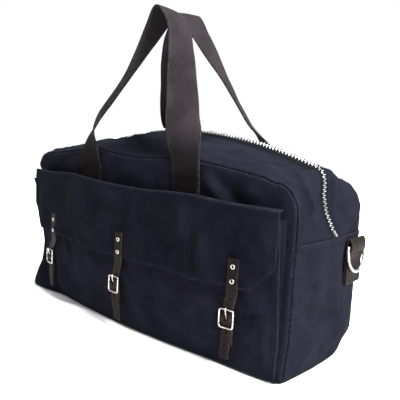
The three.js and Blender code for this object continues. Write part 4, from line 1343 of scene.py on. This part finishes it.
def canvas_material(name="navy_canvas", depth=1.0):
    """Woven cotton, with painted shade in its thread gaps; a depth below 1 darkens every colour, which paints shade
    on the whole piece.
    """
    s = Surface(name, 0.92, Sheen_Weight=0.008, Sheen_Roughness=0.5, Sheen_Tint=(0.7, 0.72, 0.9, 1),
                Specular_IOR_Level=0.2, IOR=1.1)
    u, v = s.weave()
    pitch, slub = 0.62 * MM, 14 * MM
    threads = over_under(s, u, v, pitch)
    slubs = []
    for along_u, along_v in ((slub, pitch), (pitch, slub)):
        place = s.node("ShaderNodeCombineXYZ", {0: s.math("MULTIPLY", u, 1 / along_u),
                                                1: s.math("MULTIPLY", v, 1 / along_v)}).outputs[0]
        slubs.append(s.node("ShaderNodeTexNoise", {"Vector": place, "Scale": 1.0, "Detail": 1.0}).outputs[0])
    dye_and_shade = s.blend(s.spread(s.noise(45 * MM, 5), 0.36, 0.66), dyed_and_shaded(depth, 0.0034, 0.0034, 0.0064),
                  dyed_and_shaded(depth, 0.0057, 0.0055, 0.0094))
    dye_and_shade = s.blend(s.math("MULTIPLY", s.spread(s.math("ADD", *slubs), 0.85, 1.3), 0.5), dye_and_shade,
                  dyed_and_shaded(depth, 0.0105, 0.0102, 0.0165))
    # Painted shade: the gaps between the threads are darkened, where shade falls between them.
    gaps = s.math("MULTIPLY", s.math("SUBTRACT", 1.0, threads), 0.45)
    dye_and_shade = s.blend(gaps, dye_and_shade, dyed_and_shaded(depth, 0.0013, 0.0013, 0.0026))
    s.colour(s.blend(s.rubbed(5 * MM, 0.3, 0.62), dye_and_shade, dyed_and_shaded(depth, 0.014, 0.0135, 0.0205)))
    s.bump((s.noise(9 * MM, 3), 0.35 * MM), (threads, 0.11 * MM))
    return s.material


def webbing_material():
    s = Surface("charcoal_webbing", 0.85, Sheen_Weight=0.012, Sheen_Roughness=0.45, Sheen_Tint=(1.0, 0.9, 0.94, 1),
                Specular_IOR_Level=0.3, IOR=1.12)
    u, v = s.weave()
    rib_pitch, pick_pitch = 2.1 * MM, 1.25 * MM
    rib = s.ridges(v, rib_pitch)
    row = s.math("FLOOR", s.math("MULTIPLY", v, 1 / rib_pitch))
    pick = s.ridges(s.math("ADD", s.math("MULTIPLY", u, 1 / pick_pitch), s.math("MULTIPLY", row, 0.5)), 1.0)
    relief = s.math("ADD", s.math("POWER", rib, 0.6), s.math("MULTIPLY", pick, 0.35))
    dye_and_shade = s.blend(s.spread(s.noise(40 * MM, 4), 0.35, 0.68), (0.0088, 0.0070, 0.0080), (0.0145, 0.0118, 0.0133))
    # Painted shade: the grooves between the ribs are darkened.
    grooves = s.math("MULTIPLY", s.math("SUBTRACT", 1.0, rib), 0.75, clamp=True)
    dye_and_shade = s.blend(grooves, dye_and_shade, (0.0022, 0.0018, 0.0020))
    specks = s.math("MULTIPLY", s.spread(s.noise(1.6 * MM, 2), 0.5, 0.75), 0.35)
    dye_and_shade = s.blend(specks, dye_and_shade, (0.030, 0.025, 0.027))
    # Painted shade: the webbing is darkened towards its feet, below about 0.345 m, where the lower handle is shaded.
    height = s.node("ShaderNodeSeparateXYZ", {0: s.position()}).outputs[2]
    painted_shade_low = s.math("SUBTRACT", 1.0, s.spread(height, 0.262, 0.345))
    dye_and_shade = s.blend(s.math("MULTIPLY", painted_shade_low, 0.8), dye_and_shade, (0.0022, 0.0018, 0.0020))
    s.colour(s.blend(s.math("MULTIPLY", s.rubbed(4 * MM, 0.35, 0.65), 0.6), dye_and_shade, (0.040, 0.034, 0.037)))
    s.bump((s.noise(14 * MM, 2), 0.3 * MM), (relief, 0.20 * MM))
    return s.material


def tape_material():
    s = Surface("zip_tape", 0.9, Specular_IOR_Level=0.2, IOR=1.1)
    u, v = s.weave()
    twill = s.ridges(s.math("ADD", u, v), 0.9 * MM)
    # Painted shade: the twill's grooves are darker than its ridges.
    s.colour(s.blend(twill, (0.0016, 0.0016, 0.0022), (0.0048, 0.0048, 0.0064)))
    s.bump((twill, 0.10 * MM))
    return s.material


def leather_material():
    s = Surface("brown_leather", 0.62, Specular_IOR_Level=0.3, IOR=1.16)
    cells = s.node("ShaderNodeTexVoronoi", {"Vector": s.position(), "Scale": 1 / (0.9 * MM)},
                   feature="DISTANCE_TO_EDGE").outputs[0]
    pores = s.spread(cells, 0.0, 0.35)
    tan = s.blend(s.spread(s.noise(22 * MM, 4), 0.35, 0.7), (0.0042, 0.0029, 0.0026), (0.0088, 0.0058, 0.0048))
    tan = s.blend(s.math("SUBTRACT", 1.0, pores), tan, (0.003, 0.002, 0.0018))
    scuffs = s.math("MULTIPLY", s.spread(s.noise(3 * MM, 4), 0.56, 0.72), 0.45)
    tan = s.blend(scuffs, tan, (0.018, 0.0125, 0.0105))
    s.colour(s.blend(s.rubbed(4 * MM, 0.3, 0.65), tan, (0.022, 0.0145, 0.0115)))
    s.rough(s.math("MULTIPLY_ADD", s.noise(8 * MM, 3), 0.3, 0.42))
    s.bump((s.noise(6 * MM, 3), 0.3 * MM), (pores, 0.10 * MM))
    return s.material


def metal_material(name, bright, dull, roughness, size):
    s = Surface(name, roughness, Metallic=1.0)
    tarnish = s.spread(s.noise(size, 4, 0.6), 0.42, 0.66)
    s.colour(s.blend(tarnish, bright, dull))
    s.rough(s.math("MULTIPLY_ADD", s.noise(size * 0.6, 4, 0.7), 0.28, roughness - 0.1))
    s.bump((s.noise(2.2 * MM, 3), 0.05 * MM))
    return s.material


def thread_material(name, roughness, dark, light):
    s = Surface(name, roughness, Specular_IOR_Level=0.2, IOR=1.1)
    s.colour(s.blend(s.noise(3 * MM, 2), dark, light))
    s.bump((s.noise(0.4 * MM, 1), 0.08 * MM))
    return s.material


MATERIALS = {
    "canvas": canvas_material(), "webbing": webbing_material(), "zip_tape": tape_material(),
    "leather": leather_material(),
    "nickel": metal_material("nickel", (0.46, 0.435, 0.41), (0.16, 0.145, 0.13), 0.27, 4 * MM),
    "zip_metal": metal_material("zip_metal", (0.50, 0.50, 0.51), (0.25, 0.25, 0.26), 0.34, 3 * MM),
}
# The flap's canvas: the same canvas at 0.7 depth, a darker copy that paints shade on the flap.
FLAP_SHADED_CANVAS = canvas_material("flap_canvas", 0.7)
NAVY_THREAD = thread_material("navy_thread", 0.9, (0.0030, 0.0029, 0.0054), (0.0085, 0.0082, 0.0130))
BROWN_THREAD = thread_material("brown_thread", 0.85, (0.003, 0.0024, 0.0024), (0.009, 0.0074, 0.0072))


def finish_piece(piece, slot, body="bag", nodes=(), material=None):
    """Gives a piece its material, picked by slot unless one is given, and the body and CAD nodes that it goes with.
    """
    fix_normals(piece)
    piece.data.materials.clear()
    piece.data.materials.append(material or MATERIALS[slot])
    if body:
        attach(piece, body)
    if nodes:
        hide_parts(*nodes)


# ---- Assembly ----
def column_at(cloth, rows, heights):
    """The grid column where each row reaches a height."""
    found = []
    for row, height in zip(np.atleast_1d(rows), np.atleast_1d(heights)):
        profile = np.maximum.accumulate(cloth.points[int(round(row)), :, 2])
        columns = np.arange(len(profile))
        found.append(np.interp(height, profile + 1e-9 * columns, columns))
    return np.array(found)


def stitch_outline(parts, cloth, xs, outline, turned=False):
    """Stitches along (x, z) points of an upright panel."""
    dense = resample(np.array(outline, float), 400)
    rows = index_of(xs, dense[:, 0])
    stitch_on(parts, cloth, rows, column_at(cloth, rows, dense[:, 1]), turned)


def build_shell():
    stitches = Parts()
    for side, seed in (("front", 11), ("back", 17)):
        finish_piece(main_panel(f"{side}_shell", seed, side == "front"), "canvas", nodes=[f"{side}_panel"])
    finish_piece(bottom_panel(), "canvas", nodes=["bottom_panel"])
    for side, seed, turned in (("right", 21, False), ("left", 26, True)):
        cloth, piece = end_panel(f"end_shell_{side}", seed, turned)
        finish_piece(piece, "canvas", nodes=[f"end_panel_{side}"])
        rows = np.linspace(2, len(cloth.points) - 3, 300)
        for drop in BAND_STITCHES:
            heights = np.full(len(rows), SEAM_HEIGHT - drop)
            stitch_on(stitches, cloth, rows, column_at(cloth, rows, heights), turned)
    for side, seed, front in (("front", 33, True), ("back", 37, False)):
        cloth, piece = top_gusset(f"top_gusset_{side}", seed, front)
        finish_piece(piece, "canvas", nodes=[f"zip_gusset_{side}"])
        rows = np.linspace(4, SEAM_COUNT - 5, 900)
        column = index_of(GUSSET_PLACES, GUSSET_WIDTH - GROOVE)
        stitch_on(stitches, cloth, rows, np.full(len(rows), column), not front)
    finish_piece(stitches.build("shell_stitches"), "canvas", material=NAVY_THREAD)


def build_zip():
    for side, sign in (("front", -1), ("back", 1)):
        finish_piece(zip_tape(f"tape_{side}", sign), "zip_tape", nodes=[f"zip_tape_{side}"])
    finish_piece(zip_teeth(), "zip_metal", nodes=["zip_chain"])
    for node in ("zip_stop_left", "zip_stop_right", "zip_slider", "zip_pull"):
        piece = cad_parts[node]
        piece.data.materials.clear()
        piece.data.materials.append(MATERIALS["zip_metal"])
        soften = piece.modifiers.new("soften", "BEVEL")
        soften.width = 0.35 * MM
        soften.segments = 2
        soften.limit_method = "ANGLE"


def build_pocket():
    stitches = Parts()
    pocket, xs, piece = pocket_front()
    finish_piece(piece, "canvas", nodes=["pocket_panel"])
    low, high = POCKET_FOOT + 8 * MM, POCKET_TOP - 3 * MM
    for inset in (3 * MM, 7 * MM):
        for x in (inset - POCKET_EDGE, POCKET_EDGE - inset):
            stitch_outline(stitches, pocket, xs, [(x, low), (x, high)])
    stitch_outline(stitches, pocket, xs, [(8 * MM - POCKET_EDGE, low), (POCKET_EDGE - 8 * MM, low)])
    for side, sign in (("right", 1), ("left", -1)):
        finish_piece(pocket_side(f"pocket_bellows_{side}", sign), "canvas", nodes=[f"pocket_gusset_{side}"])
    finish_piece(stitches.build("pocket_stitches"), "canvas", material=NAVY_THREAD)


def build_flap():
    flap, xs, piece = pocket_flap()
    finish_piece(piece, "canvas", body=None, nodes=["pocket_flap", "pocket_flap_yoke"], material=FLAP_SHADED_CANVAS)
    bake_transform(piece)
    gap = FLAP_HEM
    mitre = gap * 0.42
    x, corner = FLAP_HALF - gap, FLAP_CORNER - mitre
    top = FLAP_FOLD - 22 * MM
    outline = [(-x, top), (-x, FLAP_SIDE + mitre), (-corner, FLAP_BOTTOM + gap)]
    middle = np.linspace(-corner + 6 * MM, corner - 6 * MM, 60)
    outline += [(a, float(flap_edge(a)) + gap) for a in middle]
    outline += [(corner, FLAP_BOTTOM + gap), (x, FLAP_SIDE + mitre), (x, top)]
    hem = Parts()
    stitch_outline(hem, flap, xs, outline)
    finish_piece(hem.build("flap_stitches"), "canvas", body="flap", material=NAVY_THREAD)


def build_straps():
    for side in STRAPS:
        place = StrapPlace(STRAP_AT[side])
        finish_piece(strap(side, place), "leather", body="flap", nodes=[f"strap_{side}"])
        finish_piece(chape(side, place), "leather", nodes=[f"buckle_chape_{side}"])
        finish_piece(buckle_frame(side, place), "nickel", f"buckle_{side}", [f"buckle_frame_{side}"])
        finish_piece(tongue(side, place), "nickel", f"tongue_{side}", [f"buckle_tongue_{side}"])
        for name, z in zip(("upper", "lower"), RIVET_HEIGHTS):
            finish_piece(rivet(side, place, name, z), "nickel", "flap", [f"rivet_{side}_{name}"])


def build_handles():
    stitches = Parts()
    plans = (("front", FRONT_LEGS, FRONT_TWIST, False, 101), ("back", BACK_LEGS, BACK_TWIST, True, 105))
    for side, legs, twist, turned, seed in plans:
        web, places, length, piece = handle(f"webbing_handle_{side}", legs, twist, seed)
        low, high, inner = 3 * MM, 258 * MM - FOOT_LOW, WEB_HALF - 4 * MM
        corners = [(low, -inner), (low, inner), (high, inner), (high, -inner)]
        for lines in ([*corners, corners[0]], corners[::2], corners[1::2]):
            along, across = resample(lines, 200).T
            for at in (along, length[-1] - along):
                stitch_on(stitches, web, index_of(length, at), index_of(places, across), turned)
        turn_about(piece, turned)
        nodes = [f"handle_{side}", f"handle_anchor_{side}_left", f"handle_anchor_{side}_right"]
        finish_piece(piece, "webbing", body=None, nodes=nodes)
        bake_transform(piece)
    finish_piece(stitches.build("handle_stitches"), "webbing", material=BROWN_THREAD)


def build_rings():
    stitches = Parts()
    for side, sign in (("right", 1), ("left", -1)):
        finish_piece(d_ring(f"d_ring_{side}", sign), "nickel", f"dring_{side}", [f"dring_{side}"])
        leather, across, path, piece = ring_tab(side, sign)
        finish_piece(piece, "leather", nodes=[f"dring_tab_{side}"])
        low, high, inner = 3 * MM, 46 * MM, TAB_HALF - 3 * MM
        box = resample([(low, -inner), (high, -inner), (high, inner), (low, inner), (low, -inner)], 200)
        stitch_on(stitches, leather, index_of(across, box[:, 1]), index_of(run_of(path), box[:, 0]))
    finish_piece(stitches.build("tab_stitches"), "leather", material=BROWN_THREAD)


def area_light(name, place, size, power):
    data = bpy.data.lights.new(name, "AREA")
    data.shape = "DISK"
    data.size = size
    data.energy = power
    light = bpy.data.objects.new(name, data)
    bpy.context.scene.collection.objects.link(light)
    light.location = place
    light.rotation_euler = (Vector((0, 0, 0.2)) - Vector(place)).to_track_quat("-Z", "Y").to_euler()


def make_studio():
    floor = new_mesh("floor", [(-4, -4, 0), (4, -4, 0), (4, 4, 0), (-4, 4, 0)], [(0, 1, 2, 3)], False)
    pale = Surface("pale_floor", 0.9, Specular_IOR_Level=0.1)
    pale.colour(pale.blend(pale.noise(300 * MM), (0.86, 0.86, 0.86), (0.88, 0.88, 0.88)))
    floor.data.materials.append(pale.material)
    world = bpy.data.worlds.new("studio")
    bpy.context.scene.world = world
    world.use_nodes = True
    background = world.node_tree.nodes["Background"]
    background.inputs["Color"].default_value = (1, 1, 1, 1)
    background.inputs["Strength"].default_value = 1.0
    area_light("key", (1.9, -0.35, 1.7), 1.0, 250)
    area_light("top", (0.1, 0.5, 2.3), 1.4, 120)
    bpy.context.scene.view_settings.view_transform = "Standard"


build_shell()
build_zip()
build_pocket()
build_flap()
build_straps()
build_handles()
build_rings()
make_studio()
